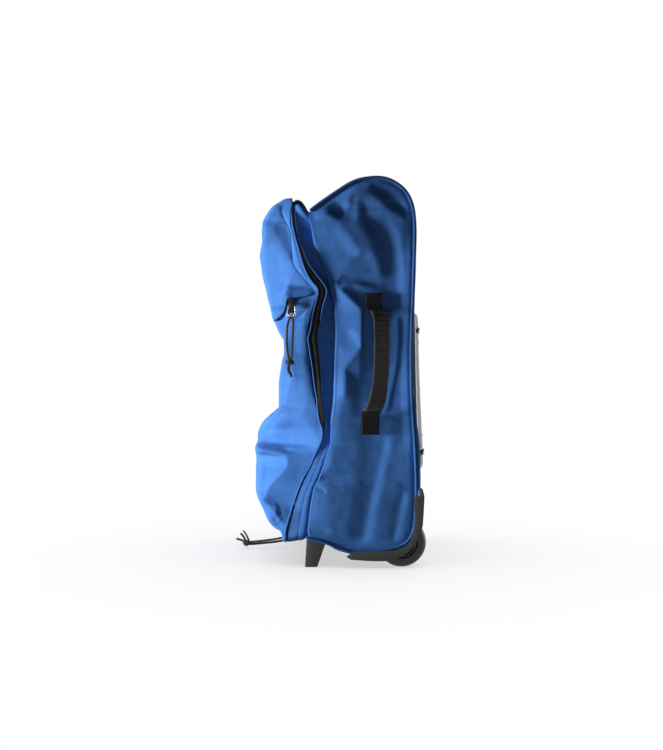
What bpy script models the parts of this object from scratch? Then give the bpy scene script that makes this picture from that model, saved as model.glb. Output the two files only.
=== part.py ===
"""Soft-sided upright travel bag on two wheels, with a telescopic pull handle.

Frame: +Z up, -Y is the front (lid and pockets), +Y the back (pull handle and
wheels), +X the side with the carry handle.  Lengths are written in
millimetres and scaled by MM.
"""

import math

import bmesh
import bpy
from mathutils import Matrix, Vector

for old in list(bpy.data.objects):
    bpy.data.objects.remove(old, do_unlink=True)

# ------------------------------------------------------------------ dimensions
MM = 0.001
GAP = 0.3                # clearance between pieces that touch
HALF_W = 170.0           # half width over the piping
PIPE_R = 2.5             # piping radius
SIDE_T = 3.0             # padded side panel
SIDE_X = HALF_W - 2.0    # outer face of the side panels
BAND_T = 3.0             # top, back and bottom bands
BAND_X = SIDE_X - SIDE_T - GAP
RIM_X, RIM_R = SIDE_X, 14.0         # opening's outline: half width, corner radius
RIM_LOW, RIM_HIGH = 42.0, 505.0     # opening's outline: lower and upper edge
GUSSET_T = 2.0
TAPE_T, TAPE_W = 1.4, 5.2
LID_Y = -79.0            # outer face of the lid panel
LID_T = 3.0
POCKET_X = 165.0

WHEEL_R, WHEEL_W = 35.0, 22.0
WHEEL_X, WHEEL_Y = 149.2, 86.8
CORE_R, BORE_R, AXLE_R = 21.0, 4.1, 4.0
WELL = (133.0, 164.6, 46.5, 75.5)   # x low, x high, y front, z top of the wheel housing
WELL_T = 2.6

TUBE_X, TUBE_Y = 62.0, 81.0
TUBES = ((22.0, 15.0, 1.3), (18.6, 11.6, 1.2), (15.4, 8.4, 1.1))   # x, y, wall
TUBE_ENDS = ((70.0, 499.7), (76.0, 506.0), (82.0, 521.7))
BEZEL_X = 92.0
GRIP_X, GRIP_LOW, GRIP_HIGH = 80.0, 522.0, 545.0
PRESS = 4.0              # travel of the release button

HINGE = (-171.5, -25.0)  # upright axis of the lid's fabric hinge
SLIDER_X = -30.0
PLATE = (97.0, 132.0, 362.0)        # kick plate: half width, z low, z high
STRAP_W, STRAP_T, STRAP_RISE, STRAP_OFF = 25.0, 2.6, 13.0, 8.0
SHIFT = (-8.65, -3.7, 0.0)          # puts the origin under the middle of the bag

# Outline of the side over the piping, from the front of the top, over the back, to the front of the bottom: (y, z)
SIDE = ((-43, 506), (-28, 518.7), (-14, 529.9), (0, 538.3), (14, 544.6), (28, 548.1), (44, 549.6),
        (58, 548.6), (71, 545), (84, 537), (94, 525.5), (100.8, 508.9), (104.3, 487), (104.7, 455),
        (103, 390), (101, 335), (99.4, 292), (98.8, 250), (100, 220), (103.6, 178.5), (107, 115),
        (108.3, 78), (106.5, 55), (99, 38.2), (90, 30.5), (78, 26), (55, 22.8), (21, 19.6),
        (8.4, 21.7), (-5.6, 25.9), (-19.6, 32.9), (-47.2, 39.9))
# Front edge of the side panels, from low to high: (z, y)
FRONT = ((40, -47.2), (64, -44.2), (90, -40.6), (114, -35.8), (136, -26.2), (158, -18.5), (177, -13.5),
         (204, -13.4), (240, -13), (288, -11.6), (334, -9.4), (374, -11.2), (390, -14), (408, -18.6),
         (435, -30.5), (457, -36.8), (481, -41.3), (503, -46), (512, -47))
# Line of the main zip, from low to high: (z, y)
ZIP = ((30, -68), (60, -66), (85, -64), (110, -56), (145, -41), (185, -28), (215, -29), (240, -32),
       (290, -37), (323, -39), (355, -35), (388, -28), (415, -38), (447, -53), (470, -60), (490, -64),
       (515, -65))
# Outer lines of the bands between the side panels: (y, z)
TOP = ((-45.2, 501.6), (-28, 513.5), (-14, 523.6), (0, 531.6), (14, 537.6), (28, 541.1), (44, 542.6), (58, 541.6),
       (69, 538.4), (80.5, 531), (89, 521.5), (95, 507.5), (98.2, 487.9))
BACK = ((99.6, 487.4), (100.6, 450), (100.6, 390), (101, 340), (102, 300), (103.5, 250), (106.5, 210),
        (110, 165), (113, 125), (113.6, 100), (112.4, 72), (107, 50), (98.5, 39.4))
BOTTOM = ((97, 38), (89, 33), (78, 29), (55, 25.8), (21, 22.6), (8.4, 24.7), (-5.6, 28.9),
          (-19.6, 35.9), (-46.6, 42.5))
UPPER_POCKET = ((-79.3, 503), (-88, 505), (-98, 497), (-106, 483), (-109.2, 460), (-109, 432), (-105.5, 402),
                (-99.5, 366), (-94.5, 345.5), (-91.3, 346.5), (-94.5, 366), (-96.5, 379), (-79.3, 379))
LOWER_POCKET = ((-79.3, 339), (-82.5, 334), (-81.5, 300), (-82.5, 262), (-86, 232), (-94, 212), (-105.8, 200.5),
                (-113.5, 184), (-116.8, 165), (-115.6, 127), (-115.9, 107), (-109.3, 90), (-98.6, 63),
                (-91, 54), (-79.3, 51))
GUARD_OUT = ((102.9, 100), (118, 102.5), (118, 96), (116.9, 74.9), (115.8, 61), (113.8, 51), (107.8, 38.5),
             (103.6, 31.5), (99.4, 27), (93.8, 22.2), (87.4, 17.5), (75, 13), (61.6, 10.4), (40, 10.8),
             (15.3, 12.5), (8.8, 16.8))
GUARD_IN = ((21, 24.4), (55, 24.5), (72.8, 25), (82, 26.4), (91, 29.8), (96.6, 36), (100.5, 44), (103.6, 58),
            (105, 75))

# ------------------------------------------------------------------ collections and materials
bag = bpy.data.collections.new("wheeled_travel_bag")
cutters = bpy.data.collections.new("cutters")
for c in (bag, cutters):
    bpy.context.scene.collection.children.link(c)


def material(name, colour, roughness, metallic=0.0):
    m = bpy.data.materials.new(name)
    m.use_nodes = True
    shader = m.node_tree.nodes["Principled BSDF"]
    shader.inputs["Base Color"].default_value = (*colour, 1)
    shader.inputs["Roughness"].default_value = roughness
    shader.inputs["Metallic"].default_value = metallic
    m.diffuse_color = (*colour, 1)
    return m


FABRIC = ("fabric", (0.035, 0.135, 0.37), 0.75)
LINING = ("lining", (0.03, 0.03, 0.035), 0.8)
WEBBING = ("webbing", (0.022, 0.022, 0.025), 0.7)
PLASTIC = ("plastic", (0.035, 0.035, 0.038), 0.42)
BOARD = ("board", (0.05, 0.05, 0.05), 0.55)
RUBBER = ("tyre", (0.03, 0.03, 0.032), 0.5)
ALUMINIUM = ("tube", (0.62, 0.63, 0.65), 0.3, 1.0)
STEEL = ("steel", (0.5, 0.5, 0.52), 0.3, 1.0)
ZIPPER = ("zip_metal", (0.045, 0.045, 0.05), 0.35, 0.6)
TAPE = ("zip_tape", (0.012, 0.012, 0.014), 0.8)
CORD = ("cord", (0.016, 0.017, 0.02), 0.75)

root = bpy.data.objects.new("bag_origin", None)
root.location = Vector(SHIFT) * MM
bag.objects.link(root)


def pivot(name, at, parent=root):
    """An empty on a joint's axis, at a point given in the bag's own frame."""
    e = bpy.data.objects.new(name, None)
    e.empty_display_size = 0.02
    e["at"] = at
    base = Vector(parent["at"]) if "at" in parent else Vector((0, 0, 0))
    e.parent = parent
    e.location = (Vector(at) - base) * MM
    bag.objects.link(e)
    return e


def piece(name, mesh, finish, parent=root, cutter=False):
    o = bpy.data.objects.new(name, mesh)
    if cutter:
        cutters.objects.link(o)
        o.hide_render = True
        o.display_type = "WIRE"
        o.parent = root
        return o
    bag.objects.link(o)
    mesh.materials.clear()
    mesh.materials.append(material(name, *finish[1:]))
    o.parent = parent
    if "at" in parent:
        o.location = -Vector(parent["at"]) * MM
    return o


def from_bmesh(name, bm):
    bmesh.ops.recalc_face_normals(bm, faces=bm.faces)
    mesh = bpy.data.meshes.new(name)
    bm.to_mesh(mesh)
    bm.free()
    return mesh


def box_mesh(name, low, high, bevel=0.0, segments=1, edges=None):
    bm = bmesh.new()
    bmesh.ops.create_cube(bm, size=1.0)
    low, high = Vector(low), Vector(high)
    bmesh.ops.scale(bm, vec=(high - low) * MM, verts=bm.verts)
    bmesh.ops.translate(bm, vec=(high + low) * MM / 2, verts=bm.verts)
    if bevel:
        chosen = [e for e in bm.edges if edges is None or abs((e.verts[1].co - e.verts[0].co).normalized()[edges]) > 0.9]
        bmesh.ops.bevel(bm, geom=chosen, offset=bevel * MM, segments=segments, affect="EDGES", profile=0.5)
    return from_bmesh(name, bm)


def outline_mesh(name, points, low, high, along="X", bevel=0.0):
    """A flat outline with thickness: a filled 2D curve, extruded.  along X the points are (y, z), along Y (x, z), along Z (x, y)."""
    curve = bpy.data.curves.new(name, "CURVE")
    curve.dimensions = "2D"
    curve.fill_mode = "BOTH"
    curve.extrude = (high - low) / 2 * MM
    spline = curve.splines.new("POLY")
    spline.points.add(len(points) - 1)
    for p, (a, b) in zip(spline.points, points):
        p.co = (a * MM, b * MM, 0, 1)
    spline.use_cyclic_u = True
    o = bpy.data.objects.new(name, curve)
    bpy.context.scene.collection.objects.link(o)
    mesh = bpy.data.meshes.new_from_object(o.evaluated_get(bpy.context.evaluated_depsgraph_get()))
    bpy.data.objects.remove(o, do_unlink=True)
    mid = (low + high) / 2 * MM
    turn = {
        "X": Matrix(((0, 0, 1, mid), (1, 0, 0, 0), (0, 1, 0, 0), (0, 0, 0, 1))),
        "Y": Matrix(((1, 0, 0, 0), (0, 0, -1, mid), (0, 1, 0, 0), (0, 0, 0, 1))),
        "Z": Matrix(((1, 0, 0, 0), (0, 1, 0, 0), (0, 0, 1, mid), (0, 0, 0, 1))),
    }[along]
    bm = bmesh.new()
    bm.from_mesh(mesh)
    bpy.data.meshes.remove(mesh)
    bmesh.ops.remove_doubles(bm, verts=bm.verts, dist=1e-6)
    bmesh.ops.transform(bm, matrix=turn, verts=bm.verts)
    bmesh.ops.recalc_face_normals(bm, faces=bm.faces)
    if bevel:
        sharp = [e for e in bm.edges if len(e.link_faces) == 2 and e.calc_face_angle() > 0.6]
        bmesh.ops.bevel(bm, geom=sharp, offset=bevel * MM, segments=1, affect="EDGES", profile=0.5)
    return from_bmesh(name, bm)


def curve_mesh(name, points, radius, resolution=2, cyclic=False):
    """A round tube along points given in mm, with filled caps, as a mesh."""
    curve = bpy.data.curves.new(name, "CURVE")
    curve.dimensions = "3D"
    curve.bevel_depth = radius * MM
    curve.bevel_resolution = resolution
    curve.use_fill_caps = True
    spline = curve.splines.new("POLY")
    spline.points.add(len(points) - 1)
    for p, co in zip(spline.points, points):
        p.co = (*(Vector(co) * MM), 1)
    spline.use_cyclic_u = cyclic
    o = bpy.data.objects.new(name, curve)
    bpy.context.scene.collection.objects.link(o)
    mesh = bpy.data.meshes.new_from_object(o.evaluated_get(bpy.context.evaluated_depsgraph_get()))
    bpy.data.objects.remove(o, do_unlink=True)
    bm = bmesh.new()
    bm.from_mesh(mesh)
    bpy.data.meshes.remove(mesh)
    bmesh.ops.remove_doubles(bm, verts=bm.verts, dist=1e-6)
    return from_bmesh(name, bm)


def cylinder_mesh(name, radius, low, high, y, z, segments=24, axis="X", x=0.0):
    bm = bmesh.new()
    bmesh.ops.create_cone(bm, cap_ends=True, segments=segments, radius1=radius * MM, radius2=radius * MM, depth=(high - low) * MM)
    if axis == "X":
        bmesh.ops.rotate(bm, matrix=Matrix.Rotation(math.pi / 2, 3, "Y"), verts=bm.verts)
        at = ((low + high) / 2, y, z)
    elif axis == "Y":
        bmesh.ops.rotate(bm, matrix=Matrix.Rotation(math.pi / 2, 3, "X"), verts=bm.verts)
        at = (x, (low + high) / 2, z)
    else:
        at = (x, y, (low + high) / 2)
    bmesh.ops.translate(bm, vec=Vector(at) * MM, verts=bm.verts)
    return from_bmesh(name, bm)


def turned(name, profile, finish, parent, at, segments=32):
    """A closed profile of (radius, x) turned about the X axis, placed at at."""
    mesh = bpy.data.meshes.new(name)
    n = len(profile)
    mesh.from_pydata([(r * MM, 0, -x * MM) for r, x in profile], [(i, (i + 1) % n) for i in range(n)], [])
    o = piece(name, mesh, finish, parent)
    o.rotation_euler = (0, -math.pi / 2, 0)
    o.location = (Vector(at) - (Vector(parent["at"]) if "at" in parent else Vector())) * MM
    screw = o.modifiers.new("turn", "SCREW")
    screw.steps = screw.render_steps = segments
    screw.use_merge_vertices = True
    screw.merge_threshold = 0.00001
    screw.use_normal_flip = True
    screw.use_smooth_shade = True
    return o


def cut(o, mesh, operation="DIFFERENCE"):
    """A Boolean with a cutter made from mesh."""
    c = piece(f"cut_{o.name}_{len(o.modifiers)}", mesh, None, cutter=True)
    m = o.modifiers.new("boolean", "BOOLEAN")
    m.operation = operation
    m.solver = "EXACT"
    m.object = c
    return c


def smooth(o, angle=35):
    o.data.shade_smooth()
    o.data.set_sharp_from_angle(angle=math.radians(angle))


def along(table, at):
    """The value at a place in a table of (place, value), smoothed between its points."""
    n = len(table)
    if at <= table[0][0]:
        return table[0][1]
    if at >= table[-1][0]:
        return table[-1][1]
    i = max(k for k in range(n - 1) if table[k][0] <= at)
    (x0, y0), (x1, y1) = table[i], table[i + 1]

    def slope(k):
        a, b = table[max(k - 1, 0)], table[min(k + 1, n - 1)]
        return (b[1] - a[1]) / (b[0] - a[0])

    h = x1 - x0
    t = (at - x0) / h
    return ((2 * t**3 - 3 * t**2 + 1) * y0 + (t**3 - 2 * t**2 + t) * h * slope(i)
            + (-2 * t**3 + 3 * t**2) * y1 + (t**3 - t**2) * h * slope(i + 1))


def heights(step, low=RIM_LOW - 8, high=RIM_HIGH + 8):
    n = round((high - low) / step)
    return [low + (high - low) * i / n for i in range(n + 1)]


def edge_line(table, shift, step=16):
    return [(along(table, z) + shift, z) for z in heights(step)]


def offset(points, by):
    """The points of an open line moved to its right-hand side by by."""
    out = []
    for i, p in enumerate(points):
        a, b = Vector(points[max(i - 1, 0)]), Vector(points[min(i + 1, len(points) - 1)])
        d = (b - a).normalized()
        out.append((p[0] + d.y * by, p[1] - d.x * by))
    return out


# ------------------------------------------------------------------ side panels, bands and piping
def side_outline(inset):
    """The side panel's outline: the outer line set in, then up the front edge."""
    outer = offset(SIDE, inset)
    low, high = outer[-1][1] + 2, outer[0][1] - 2
    front = [p for p in edge_line(FRONT, 0) if low < p[1] < high]
    return [p for p in outer if p[0] > -44] + front


panel = side_outline(2 * PIPE_R + GAP)
for side, sign in (("left", -1), ("right", 1)):
    a, b = sorted((sign * SIDE_X, sign * (SIDE_X - SIDE_T)))
    piece(f"side_panel_{side}", outline_mesh(f"side_panel_{side}", panel, a, b), FABRIC)
    line = offset(SIDE, PIPE_R)
    o = piece(f"piping_{side}", curve_mesh(f"piping_{side}", [(sign * (HALF_W - PIPE_R), y, z) for y, z in line], PIPE_R), FABRIC)
    smooth(o, 60)


def band(name, line):
    outline = list(line) + offset(line, BAND_T)[::-1]
    return piece(name, outline_mesh(name, outline, -BAND_X, BAND_X), FABRIC)


top = band("top_panel", TOP)
cut(top, box_mesh("c", (-BEZEL_X - GAP, 61.6, 480), (BEZEL_X + GAP, 98.4, 600)))
back = band("back_panel", BACK)
bottom = band("bottom_panel", BOTTOM)
for sign in (-1, 1):
    a, b = sorted((sign * (WELL[0] - 0.5), sign * 200))
    cut(back, box_mesh("c", (a, 60, 0), (b, 200, WELL[3] + 8)))
    cut(bottom, box_mesh("c", (a, WELL[2] - 3, 0), (b, 200, 90)))


# ------------------------------------------------------------------ opening: gusset, zip tapes, lid
def rim(inset):
    """Rounded outline of the opening, (x, z), set in by inset."""
    x, low, high, r = RIM_X - inset, RIM_LOW + inset, RIM_HIGH - inset, RIM_R - inset
    out = []
    for cx, cz, start in ((x - r, high - r, 0), (-x + r, high - r, 90), (-x + r, low + r, 180), (x - r, low + r, 270)):
        for k in range(5):
            t = math.radians(start + 90 * k / 4)
            out.append((cx + r * math.cos(t), cz + r * math.sin(t)))
    return out


def rim_tube(name, thickness, finish, parent, near, far):
    """The part of a rectangular tube around the opening that lies between two lines (y, z)."""
    o = piece(name, outline_mesh(name, rim(0.0), -110, 20, "Y"), finish, parent)
    cut(o, outline_mesh("c", rim(thickness), -130, 40, "Y"))
    region = outline_mesh("c", near + far[::-1], -200, 200)
    cut(o, region, "INTERSECT")
    return o


lid = pivot("lid_axis", (HINGE[0], HINGE[1], 270))
rim_tube("zip_gusset", GUSSET_T, FABRIC, root, edge_line(ZIP, 6.2), edge_line(FRONT, -GAP))
rim_tube("lid_gusset", GUSSET_T, FABRIC, lid, [(LID_Y + LID_T + GAP, z) for z in (20, 530)], edge_line(ZIP, -6.2))
for name, parent, a, b in (("main_zip_tape_body", root, 0.6, 0.6 + TAPE_W), ("main_zip_tape_lid", lid, -0.6 - TAPE_W, -0.6)):
    tape = rim_tube(name, TAPE_T, TAPE, parent, edge_line(ZIP, a), edge_line(ZIP, b))
    cut(tape, box_mesh("c", (-200, -200, 0), (-150, 100, 600)))

hinge = rim_tube("hinge_strip", GUSSET_T, FABRIC, root, edge_line(ZIP, -5.9), edge_line(ZIP, 5.9))
cut(hinge, box_mesh("c", (-150.3, -200, 0), (200, 100, 600)))

piece("lid_panel", outline_mesh("lid_panel", rim(0.0), LID_Y, LID_Y + LID_T, "Y"), FABRIC, lid)
for name, outline in (("upper_pocket", UPPER_POCKET), ("lower_pocket", LOWER_POCKET)):
    piece(name, outline_mesh(name, outline, -POCKET_X, POCKET_X, bevel=0.0), FABRIC, lid)

# pocket zip: across the front under the flap and a little way round the near side
TAPE_Z = (360.0, 370.0)
path = [(-150, LID_Y - GAP), (SIDE_X + GAP, LID_Y - GAP), (SIDE_X + GAP, -56)]
strip = path + [(SIDE_X + GAP + 1.2, -56), (SIDE_X + GAP + 1.2, LID_Y - GAP - 1.2), (-150, LID_Y - GAP - 1.2)]
piece("pocket_zip_tape", outline_mesh("pocket_zip_tape", strip, *TAPE_Z, "Z"), TAPE, lid)

# ------------------------------------------------------------------ boards and lining inside
piece("base_board", box_mesh("base_board", (-130, -38, 47), (130, 92, 49), 3, 2, edges=2), BOARD)
piece("back_board", box_mesh("back_board", (-150, 94.0, 86), (150, 96.0, 470), 8, 2, edges=1), BOARD)
piece("lining_panel", box_mesh("lining_panel", (-158, 68.6, 84), (158, 70.4, 496), 6, 2, edges=1), LINING)

# ------------------------------------------------------------------ kick plate on the back, with its screws
half, z0, z1 = PLATE
plate_line = [(104.5, z1), (110, z1 + 0.01), (114.0, z1 - 4), (116.5, z1 - 14), (119.5, 250), (124.0, z0 + 14), (123.4, z0 + 5), (120, z0), (115.5, z0)]
inner_line = [(113.7, 138), (110.8, 165), (107.3, 210), (104.3, 250), (102.8, 300), (101.8, 340)]
plate = piece("back_plate", outline_mesh("back_plate", plate_line + inner_line, -half, half), PLASTIC)
for sx in (-1, 1):                      # the plate's corners are cut off at 45 degrees
    for z, way in ((z0, -1), (z1, 1)):
        c = cut(plate, box_mesh("c", (-12, 90, -12), (12, 140, 12)))
        c.rotation_euler = (0, math.pi / 4, 0)
        c.location = (sx * half * MM, 0, z * MM)
screw_rows = ((z0 + 26, 123.6, 113.9), ((z0 + z1) / 2, 119.6, 104.9), (z1 - 26, 116.9, 102.3))
for row, (z, face, wall) in enumerate(screw_rows):
    for side, sx in (("left", -1), ("right", 1)):
        if row == 1:
            continue
        x = sx * (half - 14)
        cut(plate, cylinder_mesh("c", 5.2, face - 2.0, 140, 0, z, 20, "Y", x))
        cut(plate, cylinder_mesh("c", 2.4, 90, 140, 0, z, 16, "Y", x))
        name = f"plate_screw_{'low' if row == 0 else 'high'}_{side}"
        o = piece(name, cylinder_mesh(name, 4.6, face - 1.6, face + 0.6, 0, z, 20, "Y", x), STEEL)
        cut(o, cylinder_mesh("c", 2.0, wall + 1.6, face, 0, z, 16, "Y", x), "UNION")
        cut(o, box_mesh("c", (x - 3.2, face - 0.3, z - 0.5), (x + 3.2, face + 3, z + 0.5)))

# ------------------------------------------------------------------ corner guards, wheel housings, axles, wheels
outer_side = offset(SIDE, -0.4)
behind = [p for p in outer_side if p[1] < 96 and p[0] > 14]
beyond = [(117.6, 96), *GUARD_OUT[3:15], *behind[::-1]]
cheek = ((46.5, 12.6), (62, 11.6), (75, 14.4), (86, 18.6), (93, 23.4), (98.5, 28.3), (102.5, 32.7), (106.6, 39.6), (112, 51.6),
         (114, 62), (114.8, 75.5), (46.5, 75.5))
for side, sign in (("left", -1), ("right", 1)):
    def span(a, b, s=sign):
        return sorted((s * a, s * b))

    a, b = span(HALF_W + GAP, HALF_W + 3.0)
    guard = piece(f"corner_guard_{side}", outline_mesh("g", GUARD_OUT + GUARD_IN, a, b), PLASTIC)
    a, b = span(165.0, HALF_W + 2.0)
    cut(guard, outline_mesh("c", beyond, a, b), "UNION")
    a, b = span(WELL[0], 166.0)
    cut(guard, outline_mesh("c", ((114.3, 83.5), (116.9, 83.5), (117.9, 96), (118, 102), (114.3, 101)), a, b), "UNION")
    cut(guard, outline_mesh("c", ((15.6, 12.5), (44, 10.9), (44, 19.9), (21, 18.4), (15.6, 18)), a, b), "UNION")

    a, b = span(WELL[0], WELL[1])
    housing = piece(f"wheel_housing_{side}", outline_mesh("h", cheek, a, b), PLASTIC)
    a, b = span(WELL[0] + WELL_T, WELL[1] - WELL_T)
    cut(housing, box_mesh("c", (a, WELL[2] + WELL_T, -20), (b, 200, WELL[3] - WELL_T)))
    a, b = span(WELL[0] - 9, WELL[1] + 9)
    cut(housing, cylinder_mesh("c", AXLE_R + 0.35, a, b, WHEEL_Y, WHEEL_R, 24))

    a, b = span(WELL[0] + 0.3, WELL[1] - 0.3)
    axle = piece(f"axle_{side}", cylinder_mesh(f"axle_{side}", AXLE_R, a, b, WHEEL_Y, WHEEL_R, 24), STEEL)
    smooth(axle)

    axis = pivot(f"wheel_axis_{side}", (sign * WHEEL_X, WHEEL_Y, WHEEL_R))
    w = WHEEL_W / 2
    turned(f"tyre_{side}", ((CORE_R + GAP, w - 1.5), (23, w), (28, w), (31.5, w - 1.6), (33.8, w - 4.4), (35, w - 8),
                            (35, 8 - w), (33.8, 4.4 - w), (31.5, 1.6 - w), (28, -w), (23, -w), (CORE_R + GAP, 1.5 - w)),
           RUBBER, axis, axis["at"], 40)
    turned(f"wheel_hub_{side}", ((BORE_R, w), (8, w), (9, w - 3.5), (18, w - 4), (19, w - 1.2), (CORE_R, w - 1.2),
                                 (CORE_R, 1.2 - w), (19, 1.2 - w), (18, 4 - w), (9, 3.5 - w), (8, -w), (BORE_R, -w)),
           PLASTIC, axis, axis["at"], 24)

# ------------------------------------------------------------------ feet under the front
for side, sign in (("left", -1), ("right", 1)):
    bm = bmesh.new()
    bmesh.ops.create_cube(bm, size=1.0)
    for v in bm.verts:
        front, up, out = v.co.y < 0, v.co.z > 0, v.co.x > 0
        y = (-47.0 if front else -20.0) if up else (-49.5 if front else -32.0)
        z = (41.4 if front else 34.6) if up else 0.0
        half_x = 13.0 if up else 9.5
        v.co = Vector((sign * 150 + (half_x if out else -half_x), y, z)) * MM
    bmesh.ops.bevel(bm, geom=[e for e in bm.edges], offset=1.5 * MM, segments=2, affect="EDGES", profile=0.5)
    smooth(piece(f"foot_{side}", from_bmesh(f"foot_{side}", bm), PLASTIC), 30)

# ------------------------------------------------------------------ telescopic handle
bezel_line = ((62, 500), (98, 500), (98, 511.5), (95.5, 518), (89, 527), (79, 535.5), (62, 542.3))
bezel = piece("handle_bezel", outline_mesh("handle_bezel", bezel_line, -BEZEL_X, BEZEL_X), PLASTIC)
cut(bezel, box_mesh("c", (-BEZEL_X + 4, 65, 504), (BEZEL_X - 4, 95, 600), 3, 2, edges=2))


def rail(name, sx, stage, parent):
    wide, deep, wall = TUBES[stage]
    low, high = TUBE_ENDS[stage]
    x = sx * TUBE_X
    o = piece(name, box_mesh(name, (x - wide / 2, TUBE_Y - deep / 2, low), (x + wide / 2, TUBE_Y + deep / 2, high), 2.6 - stage * 0.5, 2, edges=2), ALUMINIUM, parent)
    cut(o, box_mesh("c", (x - wide / 2 + wall, TUBE_Y - deep / 2 + wall, low - 9), (x + wide / 2 - wall, TUBE_Y + deep / 2 - wall, high + 9), 1.6 - stage * 0.3, 2, edges=2))
    smooth(o)
    return o


stage_1 = pivot("handle_stage_1_axis", (0, TUBE_Y, TUBE_ENDS[1][0]))
stage_2 = pivot("handle_stage_2_axis", (0, TUBE_Y, TUBE_ENDS[2][0]), stage_1)
press = pivot("grip_button_axis", (0, TUBE_Y, GRIP_HIGH), stage_2)
grip = piece("grip", box_mesh("grip", (-GRIP_X, TUBE_Y - 8, GRIP_LOW), (GRIP_X, TUBE_Y + 8, GRIP_HIGH), 4.5, 3), PLASTIC, stage_2)
cut(grip, box_mesh("c", (-TUBE_X - 6, TUBE_Y - 3, GRIP_LOW - 5), (TUBE_X + 6, TUBE_Y + 3, GRIP_LOW + 14.5)))
cut(grip, box_mesh("c", (-18, TUBE_Y - 5, GRIP_LOW + 10.8), (18, TUBE_Y + 5, GRIP_HIGH + 9), 2, 2, edges=2))
button = piece("grip_button", box_mesh("grip_button", (-17.5, TUBE_Y - 4.5, GRIP_LOW + 15.2), (17.5, TUBE_Y + 4.5, GRIP_HIGH + 1.8), 1.7, 2, edges=2), PLASTIC, press)
cut(button, box_mesh("c", (-TUBE_X - 4, TUBE_Y - 2.4, GRIP_LOW + 6.5), (TUBE_X + 4, TUBE_Y + 2.4, GRIP_LOW + 16)), "DIFFERENCE")
lock = piece("lock_bar", box_mesh("lock_bar", (-TUBE_X - 4, TUBE_Y - 2, GRIP_LOW + 8), (TUBE_X + 4, TUBE_Y + 2, GRIP_LOW + 12)), STEEL, press)
for side, sx in (("left", -1), ("right", 1)):
    outer = rail(f"outer_tube_{side}", sx, 0, root)
    middle = rail(f"middle_tube_{side}", sx, 1, stage_1)
    rail(f"inner_tube_{side}", sx, 2, stage_2)
    cut(bezel, box_mesh("c", (sx * TUBE_X - TUBES[1][0] / 2 - 0.5, TUBE_Y - TUBES[1][1] / 2 - 0.5, 490), (sx * TUBE_X + TUBES[1][0] / 2 + 0.5, TUBE_Y + TUBES[1][1] / 2 + 0.5, 510)))
    cut(lock, cylinder_mesh("c", 1.7, 236, GRIP_LOW + 9, TUBE_Y, 0, 12, "Z", sx * TUBE_X), "UNION")
bracket = piece("tube_bracket", box_mesh("tube_bracket", (-80, 72.4, 49.3), (80, 91.5, 69.7), 2, 2, edges=0), PLASTIC)

# ------------------------------------------------------------------ webbing carry handles
def strap_path(length, rise, ends, n=22):
    """(along, away) of a strap that leaves the patch nearly flat, bows out and comes back."""
    out = []
    for i in range(n + 1):
        t = i / n
        s = math.sin(math.pi * t)
        out.append((length * t, ends + rise * s**0.8))
    return out


strap = pivot("side_handle_axis", (SIDE_X + STRAP_OFF, 43.5, 289))
for name, (y0, y1, end, far) in (("side_handle_patch_top", (35, 58, 360, 385)), ("side_handle_patch_bottom", (29, 54, 218, 187))):
    way = 1 if far > end else -1        # the strap's sewn end: flat on the panel, folded out where the strap leaves it
    x = SIDE_X + GAP
    outline = ((x, end), (x + 8.9, end), (x + 8.9, end + 2.4 * way), (x + 5, end + 6 * way), (x + 2.4, end + 10 * way), (x + 2.4, far), (x, far))
    piece(name, outline_mesh(name, outline, y0, y1, "Y"), WEBBING)


def ribbon(name, points, width_axis, thickness, parent):
    """A webbing strap: an open strip along points, given width across and thickness by Solidify."""
    bm = bmesh.new()
    rows = []
    for p, lean in points:
        across = Vector(width_axis) * STRAP_W / 2
        rows.append([bm.verts.new((Vector(p) + lean - across) * MM), bm.verts.new((Vector(p) + lean + across) * MM)])
    for a, b in zip(rows, rows[1:]):
        bm.faces.new((a[0], a[1], b[1], b[0]))
    mesh = bpy.data.meshes.new(name)
    bm.to_mesh(mesh)
    bm.free()
    o = piece(name, mesh, WEBBING, parent)
    m = o.modifiers.new("thickness", "SOLIDIFY")
    m.thickness = thickness * MM
    m.offset = 0.0
    m.use_even_offset = True
    smooth(o, 40)
    return o


z_low, z_high = 219.0, 359.0
points = []
for s, away in strap_path(z_high - z_low, STRAP_RISE, SIDE_X + STRAP_OFF):
    t = s / (z_high - z_low)
    lean = Vector((0, 41.5 + 5.0 * t + 12.5 * math.sin(math.pi * t) ** 0.9, 0))
    points.append(((away, 0, z_low + s), lean))
ribbon("side_handle_strap", points, (0, 1, 0), STRAP_T, strap)

lift = pivot("top_handle_axis", (0, 26, 541))
x_end = 78.0
points = []
for s, away in strap_path(2 * x_end, 4.4, 542.0):
    points.append(((s - x_end, 26, away), Vector((0, 0, 0))))
ribbon("top_handle_strap", points, (0, 1, 0.18), 1.8, lift)

# ------------------------------------------------------------------ sliders, pulls and their cords
def slider_block(name, low, high, finish, parent):
    return piece(name, box_mesh(name, low, high, 1.0, 2), finish, parent)


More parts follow.
